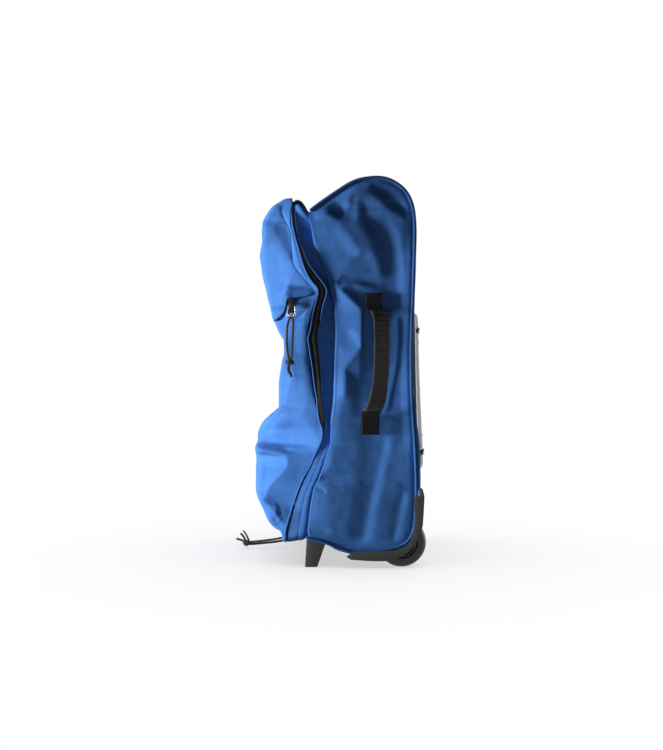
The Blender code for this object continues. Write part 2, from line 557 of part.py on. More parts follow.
def slab(name, start, end, across, width, thickness, finish, parent, hole=2.2):
    """A pull tab between two points, with a hole near its far end; across is the direction of its width."""
    start, end, across = Vector(start), Vector(end), Vector(across).normalized()
    along_ = (end - start).normalized()
    normal = along_.cross(across).normalized()
    length = (end - start).length
    turn = Matrix((across, along_, normal)).transposed().to_4x4()
    turn.translation = start * MM
    bm = bmesh.new()
    bmesh.ops.create_cube(bm, size=1.0)
    bmesh.ops.scale(bm, vec=Vector((width, length, thickness)) * MM, verts=bm.verts)
    bmesh.ops.translate(bm, vec=Vector((0, length / 2, 0)) * MM, verts=bm.verts)
    bmesh.ops.bevel(bm, geom=list(bm.edges), offset=0.5 * MM, segments=1, affect="EDGES")
    bmesh.ops.transform(bm, matrix=turn, verts=bm.verts)
    o = piece(name, from_bmesh(name, bm), finish, parent)
    bm = bmesh.new()
    bmesh.ops.create_cone(bm, cap_ends=True, segments=12, radius1=hole * MM, radius2=hole * MM, depth=20 * MM)
    bmesh.ops.translate(bm, vec=Vector((0, length - hole - 1.0, 0)) * MM, verts=bm.verts)
    bmesh.ops.transform(bm, matrix=turn, verts=bm.verts)
    cut(o, from_bmesh("c", bm))
    return o


def smooth_route(points, n):
    """n + 1 points along a Catmull-Rom curve through the route's points."""
    pts = [Vector(p) for p in points]
    pts = [2 * pts[0] - pts[1], *pts, 2 * pts[-1] - pts[-2]]
    out = []
    spans = len(pts) - 3
    for k in range(n + 1):
        u = k / n * spans
        i = min(int(u), spans - 1)
        t = u - i
        a, b, c, d = pts[i:i + 4]
        out.append(0.5 * ((2 * b) + (c - a) * t + (2 * a - 5 * b + 4 * c - d) * t * t + (3 * b - a - 3 * c + d) * t**3))
    return out


def knot(name, at, size, tail, parent):
    bm = bmesh.new()
    bmesh.ops.create_uvsphere(bm, u_segments=12, v_segments=8, radius=0.5 * MM)
    bmesh.ops.scale(bm, vec=size, verts=bm.verts)
    bmesh.ops.translate(bm, vec=Vector(at) * MM, verts=bm.verts)
    o = piece(name, from_bmesh(name, bm), CORD, parent)
    cut(o, curve_mesh("c", smooth_route([at, *tail], 5), CORD_R * 1.25), "UNION")
    smooth(o, 50)
    return o


CORD_R = 1.4
slider_axis = pivot("main_slider_axis", (SLIDER_X, -68, 38))
pull_axis = pivot("main_pull_axis", (SLIDER_X, -69.5, 35), slider_axis)
slider_block("main_zip_slider", (SLIDER_X - 4.5, -74.5, 38.2), (SLIDER_X + 4.5, -61.5, RIM_LOW - GAP), ZIPPER, slider_axis)
slab("main_zip_pull", (SLIDER_X, -69.8, 37.4), (SLIDER_X, -82.0, 13.5), (1, 0, 0), 6, 1.8, ZIPPER, pull_axis)
loop = [(SLIDER_X + 4.2, -139.5, 4.6), (SLIDER_X + 5.4, -125, 5.2), (SLIDER_X + 5, -104, 6.0), (SLIDER_X + 3.4, -90, 8.2),
        (SLIDER_X + 0.7, -83.4, 17.1), (SLIDER_X, -80.9, 16.4), (SLIDER_X - 0.7, -78.4, 15.3), (SLIDER_X - 2.6, -78.6, 9.6), (SLIDER_X - 4.8, -86, 4.6),
        (SLIDER_X - 5.6, -110, 2.0), (SLIDER_X - 5.2, -126, 2.2), (SLIDER_X - 3.8, -139.5, 3.2)]
o = piece("main_zip_cord", curve_mesh("main_zip_cord", smooth_route(loop, 44), CORD_R), CORD, pull_axis)
smooth(o, 60)
knot("main_zip_knot", (SLIDER_X, -144.9, 4.7), (12, 9.4, 9.0), [(SLIDER_X - 1, -152, 5), (SLIDER_X - 3, -158, 9)], pull_axis)

pslider_axis = pivot("pocket_slider_axis", (SIDE_X + 2, -67, 365), lid)
ppull_axis = pivot("pocket_pull_axis", (SIDE_X + 4.6, -67, 371), pslider_axis)
slider_block("pocket_zip_slider", (SIDE_X + GAP + 1.5, -73, 360.6), (SIDE_X + GAP + 4.3, -61, 369.4), ZIPPER, pslider_axis)
slab("pocket_zip_pull", (SIDE_X + 6.0, -67, 372.5), (SIDE_X + 6.0, -68.6, 350.5), (0, 1, 0), 6.4, 1.8, PLASTIC, ppull_axis)
px = SIDE_X + 5.4
loop = [(px - 0.6, -73.2, 294.5), (px - 0.4, -74.8, 310), (px - 1.4, -74.4, 330), (px - 2.4, -72.0, 345), (px - 1.5, -68.7, 353.2),
        (px + 0.6, -68.5, 353.6), (px + 2.7, -68.3, 353.2), (px + 2.8, -65.6, 345), (px + 1.2, -66.4, 326), (px + 0.4, -68.0, 309), (px, -69.4, 294.5)]
o = piece("pocket_zip_cord", curve_mesh("pocket_zip_cord", smooth_route(loop, 40), CORD_R), CORD, ppull_axis)
smooth(o, 60)
knot("pocket_zip_knot", (px + 0.2, -71, 289.6), (8.6, 11, 8.8), [(px + 0.4, -69.6, 280), (px + 0.4, -68, 271)], ppull_axis)
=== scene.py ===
import math

import bmesh
import bpy
import numpy as np
from mathutils import Matrix, Vector


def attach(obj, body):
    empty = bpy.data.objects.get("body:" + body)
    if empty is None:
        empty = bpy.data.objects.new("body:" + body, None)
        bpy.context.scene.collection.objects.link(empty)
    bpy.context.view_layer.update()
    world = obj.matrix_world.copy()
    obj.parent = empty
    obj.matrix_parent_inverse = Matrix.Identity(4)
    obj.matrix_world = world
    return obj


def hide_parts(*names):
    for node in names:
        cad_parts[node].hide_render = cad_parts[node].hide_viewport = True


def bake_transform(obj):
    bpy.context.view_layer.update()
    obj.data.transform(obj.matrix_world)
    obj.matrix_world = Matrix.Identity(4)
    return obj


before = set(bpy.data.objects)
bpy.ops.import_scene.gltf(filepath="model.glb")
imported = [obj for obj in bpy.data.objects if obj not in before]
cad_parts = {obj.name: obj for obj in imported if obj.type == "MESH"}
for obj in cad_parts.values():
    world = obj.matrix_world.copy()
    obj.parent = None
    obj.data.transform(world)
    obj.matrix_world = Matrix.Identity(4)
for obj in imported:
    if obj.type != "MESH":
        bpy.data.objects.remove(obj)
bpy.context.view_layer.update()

scene = bpy.context.scene

# Lengths are millimetres in the bag's own frame: +Z up, -Y the front, +X the side with the carry handle. W() gives metres in the row frame.
SHIFT = np.array((-8.65, -3.7, 0.0))
rng = np.random.default_rng(7)


def W(p):
    return (np.asarray(p, float) + SHIFT) * 0.001


# ------------------------------------------------------------------ camera
cam_data = bpy.data.cameras.new("camera")
cam_data.sensor_width = 36.0
cam_data.lens = 36.0 * 1.70 / 1.05
cam_data.clip_start = 0.05
cam_data.clip_end = 60
cam = bpy.data.objects.new("camera", cam_data)
cam.location = W((1870.0, -11.9, 270.9))
cam.rotation_euler = (math.radians(90), 0, math.radians(90))
scene.collection.objects.link(cam)
scene.camera = cam


# ------------------------------------------------------------------ numbers
def unit(v):
    return v / np.maximum(np.linalg.norm(v, axis=-1, keepdims=True), 1e-12)


def ease(t):
    t = np.clip(t, 0, 1)
    return t * t * (3 - 2 * t)


def along(table, at):
    """Values of a table of (place, value) at places, smoothed without overshoot."""
    a = np.array(table, float)
    x, y = a[:, 0], a[:, 1]
    d = np.diff(y) / np.diff(x)
    s = np.zeros(len(x))
    s[0], s[-1] = d[0], d[-1]
    both = d[1:] * d[:-1] > 0
    s[1:-1] = np.where(both, 2 * d[1:] * d[:-1] / np.where(both, d[1:] + d[:-1], 1), 0)
    at = np.clip(np.asarray(at, float), x[0], x[-1])
    i = np.clip(np.searchsorted(x, at, side="right") - 1, 0, len(x) - 2)
    h = x[i + 1] - x[i]
    t = (at - x[i]) / h
    return ((2 * t**3 - 3 * t**2 + 1) * y[i] + (t**3 - 2 * t**2 + t) * h * s[i]
            + (-2 * t**3 + 3 * t**2) * y[i + 1] + (t**3 - t**2) * h * s[i + 1])


def flow(points, n):
    """n points evenly spaced on a Catmull-Rom curve through the points."""
    p = np.array(points, float)
    p = np.vstack([2 * p[0] - p[1], p, 2 * p[-1] - p[-2]])
    out = []
    for i in range(1, len(p) - 2):
        t = np.linspace(0, 1, 40, endpoint=False)[:, None]
        a, b, c, d = p[i - 1], p[i], p[i + 1], p[i + 2]
        out.append(0.5 * (2 * b + (c - a) * t + (2 * a - 5 * b + 4 * c - d) * t**2 + (3 * b - a - 3 * c + d) * t**3))
    return even(np.vstack([*out, p[-2:-1]]), n)


def even(p, n, at=None):
    """n points at even lengths, or at shares of the length, on a polyline."""
    p = np.asarray(p, float)
    s = np.r_[0, np.cumsum(np.linalg.norm(np.diff(p, axis=0), axis=1))]
    u = (np.linspace(0, 1, n) if at is None else np.asarray(at)) * s[-1]
    return np.stack([np.interp(u, s, p[:, k]) for k in range(p.shape[1])], 1)


def shifted(p, by):
    """A polyline of (y, z) moved to the right of its direction by by."""
    d = unit(np.gradient(p, axis=0))
    return p + np.stack([d[:, 1], -d[:, 0]], 1) * by


def line_distance(A, B, line):
    """Signed distance (positive left of travel), distance and share along a polyline, at points (A, B)."""
    line = np.asarray(line, float)
    best = np.full(np.shape(A), 1e9)
    side = np.zeros(np.shape(A))
    share = np.zeros(np.shape(A))
    past = np.zeros(np.shape(A))
    lengths = np.linalg.norm(np.diff(line, axis=0), axis=1)
    total, run = lengths.sum(), 0.0
    for k, ((ax, ay), (bx, by)) in enumerate(zip(line, line[1:])):
        dx, dy = bx - ax, by - ay
        L = max(lengths[k], 1e-9)
        t = ((A - ax) * dx + (B - ay) * dy) / L**2
        tc = np.clip(t, 0, 1)
        ex, ey = A - ax - tc * dx, B - ay - tc * dy
        d = np.hypot(ex, ey)
        nearer = d < best
        best = np.where(nearer, d, best)
        side = np.where(nearer, np.sign(dx * (B - ay) - dy * (A - ax)), side)
        share = np.where(nearer, (run + tc * L) / total, share)
        run += L
    return best * side, best, share


def stroke(A, B, line, h, left, right=None, ends=0.25, sharp=0.0):
    """Height of a ridge (h > 0) or a valley along a line, falling off over left and right of it, and fading at its ends."""
    right = left if right is None else right
    line = flow(line, 24) if len(line) > 2 else line
    signed, d, share = line_distance(A, B, line)
    w = np.where(signed > 0, left, right)
    q = d / w
    body = (1 - sharp) * np.exp(-q * q) + sharp * np.exp(-1.6 * q)
    fade = ease(share / max(ends, 1e-3)) * ease((1 - share) / max(ends, 1e-3)) if ends > 0 else 1.0
    return h * body * fade


def bump(A, B, at, radius, h, turn=0.0, power=1.0):
    a, b = A - at[0], B - at[1]
    c, s = math.cos(math.radians(turn)), math.sin(math.radians(turn))
    p, q = (a * c + b * s) / radius[0], (b * c - a * s) / radius[1]
    return h * np.exp(-((p * p + q * q) ** power))


def wobble(A, B, scale, seed, octaves=3):
    """Smooth seeded noise of about +-1 with a feature size of scale."""
    r = np.random.default_rng(seed)
    out, gain = 0, 0
    for o in range(octaves):
        for _ in range(5):
            t, ph = r.uniform(0, 2 * math.pi, 2)
            f = 2 * math.pi / (scale * r.uniform(0.8, 1.5)) * 2**o
            out = out + np.sin((A * math.cos(t) + B * math.sin(t)) * f + ph) * 0.5**o
        gain += 0.5**o
    return out / (gain * 2.6)


# ------------------------------------------------------------------ materials
def nodes_of(name):
    m = bpy.data.materials.new(name)
    m.use_nodes = True
    t = m.node_tree
    return m, t, t.nodes["Principled BSDF"]


def node(t, kind, **values):
    n = t.nodes.new("ShaderNode" + kind)
    for k, v in values.items():
        if k in n.inputs:
            n.inputs[k].default_value = v
        else:
            setattr(n, k, v)
    return n


def ramp(t, fac, stops):
    r = node(t, "ValToRGB")
    t.links.new(fac, r.inputs["Fac"])
    while len(r.color_ramp.elements) < len(stops):
        r.color_ramp.elements.new(0.5)
    for e, (pos, colour) in zip(r.color_ramp.elements, stops):
        e.position = pos
        e.color = (*colour, 1) if len(colour) == 3 else colour
    return r.outputs["Color"]


def srgb(r, g, b):
    return tuple(((c / 255) / 12.92 if c <= 10.3 else ((c / 255 + 0.055) / 1.055) ** 2.4) for c in (r, g, b))


def math_node(t, op, a, b=None, c=None):
    n = node(t, "Math", operation=op)
    for i, v in enumerate((a, b, c)):
        if v is None:
            continue
        if isinstance(v, (int, float)):
            n.inputs[i].default_value = v
        else:
            t.links.new(v, n.inputs[i])
    return n.outputs[0]


def mix_colour(t, fac, a, b, blend="MIX"):
    n = node(t, "Mix", data_type="RGBA", blend_type=blend)
    if isinstance(fac, (int, float)):
        n.inputs["Factor"].default_value = fac
    else:
        t.links.new(fac, n.inputs["Factor"])
    for i, v in ((6, a), (7, b)):
        if isinstance(v, tuple):
            n.inputs[i].default_value = (*v, 1)
        else:
            t.links.new(v, n.inputs[i])
    return n.outputs[2]


def noise(t, where, scale, detail=3.0, rough=0.55):
    n = node(t, "TexNoise", Scale=scale, Detail=detail, Roughness=rough)
    t.links.new(where, n.inputs["Vector"])
    return n.outputs["Fac"]


def threads(t, uv, warp, weft):
    """A plain weave in metres: raised yarns that pass over and under, from 0 to 1, and its checker of over and under."""
    sep = node(t, "SeparateXYZ")
    t.links.new(uv, sep.inputs[0])
    u = math_node(t, "MULTIPLY", sep.outputs[0], math.pi / warp)
    v = math_node(t, "MULTIPLY", sep.outputs[1], math.pi / weft)
    su, sv = math_node(t, "SINE", u), math_node(t, "SINE", v)
    over = math_node(t, "MULTIPLY", su, sv)
    au, av = math_node(t, "ABSOLUTE", su), math_node(t, "ABSOLUTE", sv)
    yarns = math_node(t, "MULTIPLY", math_node(t, "POWER", au, 0.5), math_node(t, "POWER", av, 0.5))
    return math_node(t, "MULTIPLY_ADD", over, 0.25, yarns), over


def cloth_material(name, colour, warp=0.0006, weft=0.0007, rough=0.66, sheen=0.06, depth=0.35, vary=0.10, tint=None, bump_distance=0.0002, spec=0.10):
    m, t, s = nodes_of(name)
    uv = node(t, "UVMap", uv_map="cloth").outputs[0]
    place = node(t, "TexCoord").outputs["Object"]
    height, over = threads(t, uv, warp, weft)
    slub = node(t, "Mapping")
    slub.inputs["Scale"].default_value = (60, 900, 1)
    t.links.new(uv, slub.inputs["Vector"])
    slubs = noise(t, slub.outputs[0], 1.0, 2.0)
    cloud = noise(t, place, 22.0, 4.0)
    dark = tuple(c * (1 - vary * 1.6) for c in colour)
    light = tuple(min(1.0, c * (1 + vary)) for c in (tint or colour))
    base = ramp(t, cloud, [(0.3, dark), (0.72, light)])
    base = mix_colour(t, math_node(t, "MULTIPLY", slubs, 0.22), base, tuple(c * 0.55 for c in colour), "MIX")
    # painted shade: the gaps between the raised yarns are darkened
    yarn_gap_shade = math_node(t, "SUBTRACT", 1.0, height)
    base = mix_colour(t, math_node(t, "MULTIPLY", math_node(t, "MAXIMUM", yarn_gap_shade, 0.0), 0.36), base, tuple(c * 0.35 for c in colour), "MIX")
    t.links.new(base, s.inputs["Base Color"])
    r = math_node(t, "MULTIPLY_ADD", over, 0.06, rough)
    r = math_node(t, "MULTIPLY_ADD", cloud, 0.12, math_node(t, "SUBTRACT", r, 0.06))
    t.links.new(r, s.inputs["Roughness"])
    s.inputs["Sheen Weight"].default_value = sheen
    s.inputs["Sheen Roughness"].default_value = 0.45
    s.inputs["Specular IOR Level"].default_value = spec
    b = node(t, "Bump", Strength=depth, Distance=bump_distance)
    t.links.new(math_node(t, "ADD", height, math_node(t, "MULTIPLY", slubs, 0.35)), b.inputs["Height"])
    b2 = node(t, "Bump", Strength=0.25, Distance=0.0012)
    t.links.new(noise(t, place, 160.0, 3.0), b2.inputs["Height"])
    t.links.new(b.outputs[0], b2.inputs["Normal"])
    t.links.new(b2.outputs[0], s.inputs["Normal"])
    return m


def plain_material(name, colour, rough, metallic=0.0, grain=900.0, grain_depth=0.12, vary=0.12, rough_vary=0.12, spec=0.5, scratches=0.0):
    m, t, s = nodes_of(name)
    place = node(t, "TexCoord").outputs["Object"]
    cloud = noise(t, place, 35.0, 5.0, 0.6)
    base = ramp(t, cloud, [(0.3, tuple(c * (1 - vary) for c in colour)), (0.7, tuple(min(1, c * (1 + vary)) for c in colour))])
    r = math_node(t, "MULTIPLY_ADD", cloud, rough_vary, rough - rough_vary / 2)
    height = noise(t, place, grain, 2.0)
    if scratches:
        streak = node(t, "Mapping")
        streak.inputs["Scale"].default_value = (30, 30, 1400)
        streak.inputs["Rotation"].default_value = (0.5, 0.3, 0)
        t.links.new(place, streak.inputs["Vector"])
        line = ramp(t, noise(t, streak.outputs[0], 1.0, 2.0), [(0.62, (0, 0, 0)), (0.7, (1, 1, 1))])
        worn = math_node(t, "MULTIPLY", line, scratches)
        base = mix_colour(t, worn, base, tuple(min(1, c * 2.2 + 0.01) for c in colour))
        r = math_node(t, "MULTIPLY_ADD", worn, 0.15, r)
    t.links.new(base, s.inputs["Base Color"])
    t.links.new(r, s.inputs["Roughness"])
    s.inputs["Metallic"].default_value = metallic
    s.inputs["Specular IOR Level"].default_value = spec
    b = node(t, "Bump", Strength=grain_depth, Distance=0.0006)
    t.links.new(height, b.inputs["Height"])
    t.links.new(b.outputs[0], s.inputs["Normal"])
    return m


def webbing_material(name, colour, pitch=0.0021, rough=0.68, rib_highlight=1.0, spec=0.25):
    """Ribbed polyester webbing: fine yarns along the strap and a herringbone in the ribs, with painted shade between
    the yarns and a painted highlight on the rib tops.
    """
    m, t, s = nodes_of(name)
    uv = node(t, "UVMap", uv_map="cloth").outputs[0]
    sep = node(t, "SeparateXYZ")
    t.links.new(uv, sep.inputs[0])
    ribs = math_node(t, "ABSOLUTE", math_node(t, "SINE", math_node(t, "MULTIPLY", sep.outputs[1], math.pi / pitch)))
    yarn = math_node(t, "ABSOLUTE", math_node(t, "SINE", math_node(t, "ADD", math_node(t, "MULTIPLY", sep.outputs[0], math.pi / 0.0009), math_node(t, "MULTIPLY", sep.outputs[1], math.pi / pitch))))
    cloud = noise(t, node(t, "TexCoord").outputs["Object"], 120.0, 3.0)
    base = ramp(t, cloud, [(0.3, tuple(c * 0.8 for c in colour)), (0.7, tuple(c * 1.25 for c in colour))])
    # painted shade between the yarns, then a painted highlight on the rib tops, both following the bump's heights
    base = mix_colour(t, math_node(t, "MULTIPLY", math_node(t, "SUBTRACT", 1.0, yarn), 0.5), base, tuple(c * 0.4 for c in colour))
    base = mix_colour(t, math_node(t, "MULTIPLY", math_node(t, "POWER", ribs, 3.0), 0.35), base, tuple(min(1, c * 2.0 * rib_highlight) for c in colour))
    t.links.new(base, s.inputs["Base Color"])
    s.inputs["Roughness"].default_value = rough
    s.inputs["Sheen Weight"].default_value = 0.05
    s.inputs["Specular IOR Level"].default_value = spec
    b = node(t, "Bump", Strength=0.5, Distance=0.0004)
    t.links.new(math_node(t, "MULTIPLY_ADD", yarn, 0.5, ribs), b.inputs["Height"])
    t.links.new(b.outputs[0], s.inputs["Normal"])
    return m


def cord_material(name, colour):
    m, t, s = nodes_of(name)
    uv = node(t, "UVMap", uv_map="cloth").outputs[0]
    sep = node(t, "SeparateXYZ")
    t.links.new(uv, sep.inputs[0])
    turn = math_node(t, "MULTIPLY", sep.outputs[0], 2 * math.pi / 0.0088 * 4)
    run = math_node(t, "MULTIPLY", sep.outputs[1], 2 * math.pi / 0.0042)
    a = math_node(t, "SINE", math_node(t, "ADD", turn, run))
    c = math_node(t, "SINE", math_node(t, "SUBTRACT", turn, run))
    braid = math_node(t, "MULTIPLY", math_node(t, "ABSOLUTE", a), math_node(t, "ABSOLUTE", c))
    # painted highlight on the raised strands and painted shade in the grooves, from the braid's height
    base = ramp(t, braid, [(0.0, tuple(x * 0.35 for x in colour)), (0.5, colour), (1.0, tuple(min(1, x * 1.7) for x in colour))])
    t.links.new(base, s.inputs["Base Color"])
    s.inputs["Roughness"].default_value = 0.62
    s.inputs["Sheen Weight"].default_value = 0.3
    b = node(t, "Bump", Strength=0.6, Distance=0.0004)
    t.links.new(braid, b.inputs["Height"])
    t.links.new(b.outputs[0], s.inputs["Normal"])
    return m


BLUE = (0.086, 0.290, 0.84)
M = {
    "fabric": cloth_material("fabric_blue", BLUE, depth=0.5, vary=0.12),
    # the piping is the bag's own blue darkened to 0.55: painted shade on the piping
    "piping": cloth_material("piping_blue_painted_shade", tuple(c * 0.55 for c in BLUE), 0.0007, 0.0007, depth=0.5),
    "fabric_edge": cloth_material("fabric_piping", tuple(c * 0.92 for c in BLUE), 0.0007, 0.0007, depth=0.5),
    "lining": cloth_material("lining_grey", srgb(52, 54, 60), 0.0006, 0.0006, rough=0.5, sheen=0.1, depth=0.2),
    "tape": cloth_material("zip_tape", srgb(22, 22, 25), 0.0006, 0.0009, rough=0.75, sheen=0.15, depth=0.5),
    "thread": plain_material("thread_blue", srgb(86, 142, 214), 0.6, grain=3000, vary=0.2),
    "thread_dark": plain_material("thread_black", srgb(34, 34, 38), 0.7, grain=3000, vary=0.2),
    "webbing": webbing_material("webbing_black", srgb(36, 36, 38)),
    # the side strap carries a stronger painted highlight on its rib tops
    "strap": webbing_material("webbing_strap", srgb(58, 56, 54), pitch=0.0036, rib_highlight=1.6),
    # the strap's sewn ends are far darker than the strap's own webbing: painted shade from the handle above them
    "patch": webbing_material("webbing_patch_painted_shade", srgb(15, 15, 18), spec=0.15),
    "cord": cord_material("cord_black", srgb(22, 23, 25)),
    "plastic": plain_material("plastic_black", srgb(54, 54, 56), 0.48, grain=1600, grain_depth=0.25, scratches=0.25),
    "plastic_gloss": plain_material("plastic_plate", srgb(40, 40, 42), 0.25, grain=700, grain_depth=0.1, scratches=0.3),
    "board": plain_material("board_grey", srgb(60, 60, 62), 0.7, grain=500),
    "rubber": plain_material("tyre_rubber", srgb(42, 42, 44), 0.5, grain=1300, grain_depth=0.2, scratches=0.3),
    "hub": plain_material("hub_plastic", srgb(30, 30, 32), 0.4, grain=1500, grain_depth=0.15),
    "steel": plain_material("steel", (0.55, 0.55, 0.56), 0.3, 1.0, grain=900, grain_depth=0.05, vary=0.06),
    "tube": plain_material("aluminium", (0.66, 0.67, 0.69), 0.3, 1.0, grain=400, grain_depth=0.04, vary=0.05, scratches=0.2),
    "zip_metal": plain_material("zip_metal", (0.09, 0.088, 0.085), 0.35, 0.9, grain=1500, grain_depth=0.06),
    "puller": plain_material("zip_puller", srgb(24, 24, 27), 0.5, grain=1500, grain_depth=0.08, spec=0.3),
    "ring": plain_material("zip_ring", (0.42, 0.42, 0.43), 0.25, 1.0, grain=1500, grain_depth=0.03),
    # the coil's light grey stands in for glints on a dark coil: painted highlight
    "coil_painted_glint": plain_material("zip_coil", srgb(92, 82, 74), 0.38, grain=2500, grain_depth=0.1),
}


# ------------------------------------------------------------------ mesh makers
def finish_mesh(name, verts, faces, material, uv=None, smooth=True, flip=False):
    me = bpy.data.meshes.new(name)
    if flip:
        faces = [f[::-1] for f in faces]
    me.from_pydata([tuple(v) for v in verts], [], faces)
    for m in (material if isinstance(material, (list, tuple)) else [material]):
        me.materials.append(m)
    if uv is not None:
        layer = me.uv_layers.new(name="cloth")
        index = np.empty(len(me.loops), np.int32)
        me.loops.foreach_get("vertex_index", index)
        layer.uv.foreach_set("vector", np.asarray(uv, np.float32)[index].ravel())
    me.polygons.foreach_set("use_smooth", np.full(len(me.polygons), smooth))
    me.update()
    o = bpy.data.objects.new(name, me)
    scene.collection.objects.link(o)
    return o


def grid_faces(n, m, close_n=False, close_m=False):
    f = []
    for i in range(n if close_n else n - 1):
        for j in range(m if close_m else m - 1):
            a, b = i * m + j, ((i + 1) % n) * m + j
            c, d = ((i + 1) % n) * m + (j + 1) % m, i * m + (j + 1) % m
            f.append((a, b, c, d))
    return f


def lengths_uv(P):
    """Texture places in metres, by length along the grid's middle row and column."""
    n, m = P.shape[:2]
    du = np.linalg.norm(np.diff(P, axis=0), axis=2)
    dv = np.linalg.norm(np.diff(P, axis=1), axis=2)
    u = np.vstack([np.zeros(m), np.cumsum(du, axis=0)]).mean(1)
    v = np.hstack([np.zeros((n, 1)), np.cumsum(dv, axis=1)]).mean(0)
    return np.stack(np.meshgrid(u, v, indexing="ij"), 2).reshape(-1, 2) * 0.001


def surface(name, P, material, flip=False, uv=None, thick=1.2, lining=None, offset=-1.0):
    """A sheet from a grid of points in bag millimetres, with thickness; its inner face takes the lining."""
    uv = lengths_uv(P) if uv is None else uv
    mats = [material] + ([lining] if lining else [])
    o = finish_mesh(name, W(P.reshape(-1, 3)), grid_faces(*P.shape[:2]), mats, uv, flip=flip)
    if thick:
        m = o.modifiers.new("thickness", "SOLIDIFY")
        m.thickness = thick * 0.001
        m.offset = offset
        m.use_even_offset = False
        if lining:
            m.material_offset = 1
            m.material_offset_rim = 0
    return o


def frames_along(P, closed=False):
    """Tangent and two across directions along a path, turning as little as possible."""
    P = np.asarray(P, float)
    T = unit(np.roll(P, -1, 0) - np.roll(P, 1, 0)) if closed else unit(np.gradient(P, axis=0))
    ref = np.array((0.0, 0.0, 1.0)) if abs(T[0][2]) < 0.8 else np.array((1.0, 0.0, 0.0))
    A = np.empty_like(P)
    A[0] = unit(np.cross(T[0], ref))
    for i in range(1, len(P)):
        a = A[i - 1] - T[i] * (A[i - 1] @ T[i])
        A[i] = unit(a)
    return T, A, np.cross(T, A)


def tube(name, path, radius, material, sides=12, closed=False, caps=True, join=None):
    """A round tube along a path in bag millimetres; radius is a number or one for each point."""
    P = np.asarray(path, float)
    T, A, B = frames_along(P, closed)
    r = np.broadcast_to(np.asarray(radius, float), (len(P),))
    ang = np.linspace(0, 2 * math.pi, sides, endpoint=False)
    ring = P[:, None] + r[:, None, None] * (np.cos(ang)[None, :, None] * A[:, None] + np.sin(ang)[None, :, None] * B[:, None])
    s = np.r_[0, np.cumsum(np.linalg.norm(np.diff(P, axis=0), axis=1))]
    uv = np.stack(np.meshgrid(s, ang / (2 * math.pi) * 8.8, indexing="ij"), 2)[..., ::-1].reshape(-1, 2) * 0.001
    V = ring.reshape(-1, 3)
    F = grid_faces(len(P), sides, close_n=closed, close_m=True)
    if caps and not closed:
        V = np.vstack([V, P[0] - T[0] * r[0] * 0.5, P[-1] + T[-1] * r[-1] * 0.5])
        uv = np.vstack([uv, [0, 0], [0, s[-1] * 0.001]])
        k = len(V) - 2
        last = (len(P) - 1) * sides
        for j in range(sides):
            F.append(((j + 1) % sides, k, j)[::-1])
            F.append((last + j, k + 1, last + (j + 1) % sides)[::-1])
    if join is not None:
        join.append((V, F, uv))
        return None
    o = finish_mesh(name, W(V), F, material, uv)
    fix_normals(o)
    return o


def joined(name, parts, material):
    V, F, U, base = [], [], [], 0
    for v, f, uv in parts:
        V.append(v)
        U.append(uv if uv is not None else np.zeros((len(v), 2)))
        F += [tuple(i + base for i in face) for face in f]
        base += len(v)
    o = finish_mesh(name, W(np.vstack(V)), F, material, np.vstack(U))
    fix_normals(o)
    return o


def fix_normals(o):
    bm = bmesh.new()
    bm.from_mesh(o.data)
    bmesh.ops.recalc_face_normals(bm, faces=bm.faces)
    bm.to_mesh(o.data)
    bm.free()


def block(low, high, bevel=0.4, segments=2, turn=None, at=None):
    """(verts, faces, None) of a rounded block in bag millimetres."""
    bm = bmesh.new()
    bmesh.ops.create_cube(bm, size=1.0)
    low, high = Vector(low), Vector(high)
    bmesh.ops.scale(bm, vec=high - low, verts=bm.verts)
    bmesh.ops.translate(bm, vec=(high + low) / 2, verts=bm.verts)
    if bevel:
        bmesh.ops.bevel(bm, geom=list(bm.edges), offset=bevel, segments=segments, affect="EDGES", profile=0.5)
    if turn is not None:
        bmesh.ops.transform(bm, matrix=turn, verts=bm.verts)
    if at is not None:
        bmesh.ops.translate(bm, vec=Vector(at), verts=bm.verts)
    bm.verts.index_update()
    v = np.array([x.co[:] for x in bm.verts])
    f = [tuple(x.index for x in face.verts) for face in bm.faces]
    bm.free()
    return v, f, None


def stitches(points, normals, pitch=3.2, length=2.3, width=0.55, lift=0.12):
    """Short thread segments along a path lying on a surface, as parts for joined()."""
    P = np.asarray(points, float)
    s = np.r_[0, np.cumsum(np.linalg.norm(np.diff(P, axis=0), axis=1))]
    N = np.asarray(normals, float)
    parts = []
    n = max(int(s[-1] / pitch), 1)
    for k in range(n):
        a, b = k * pitch, k * pitch + length
        if b > s[-1]:
            break
        rows = []
        for q, up in ((a, -0.25), (a + 0.25 * length, 0.75), (b - 0.25 * length, 0.75), (b, -0.25)):
            c = np.array([np.interp(q, s, P[:, i]) for i in range(3)])
            nn = unit(np.array([np.interp(q, s, N[:, i]) for i in range(3)]))
            rows.append((c, nn, up))
        d = unit(rows[-1][0] - rows[0][0])
        V = []
        for c, nn, up in rows:
            side = unit(np.cross(d, nn)) * width / 2
            top = nn * (width * 0.55 * up + lift)
            V += [c - side + nn * (lift - 0.35), c + top, c + side + nn * (lift - 0.35)]
        F = [(0, 1, 4, 3), (1, 2, 5, 4), (2, 0, 3, 5), (3, 4, 7, 6), (4, 5, 8, 7), (5, 3, 6, 8), (6, 7, 10, 9), (7, 8, 11, 10), (8, 6, 9, 11), (0, 2, 1), (9, 10, 11)]
        parts.append((np.array(V), F, None))
    return parts


def grid_normals(P):
    du, dv = np.gradient(P, axis=0), np.gradient(P, axis=1)
    return unit(np.cross(du, dv))


def ride(o, body, *replaced, slot=None):
    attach(o, body)
    if replaced:
        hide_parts(*replaced)
    return o


# ------------------------------------------------------------------ cords: two strands on each puller, from its hole through a knot to a tail
CORD_D = 3.5


def cord_piece(name, route, body, old):
    P = flow(route, 64)
    o = tube(name, P, CORD_D / 2, M["cord"], sides=12)
    ride(o, body, old, slot="cord")
    return o


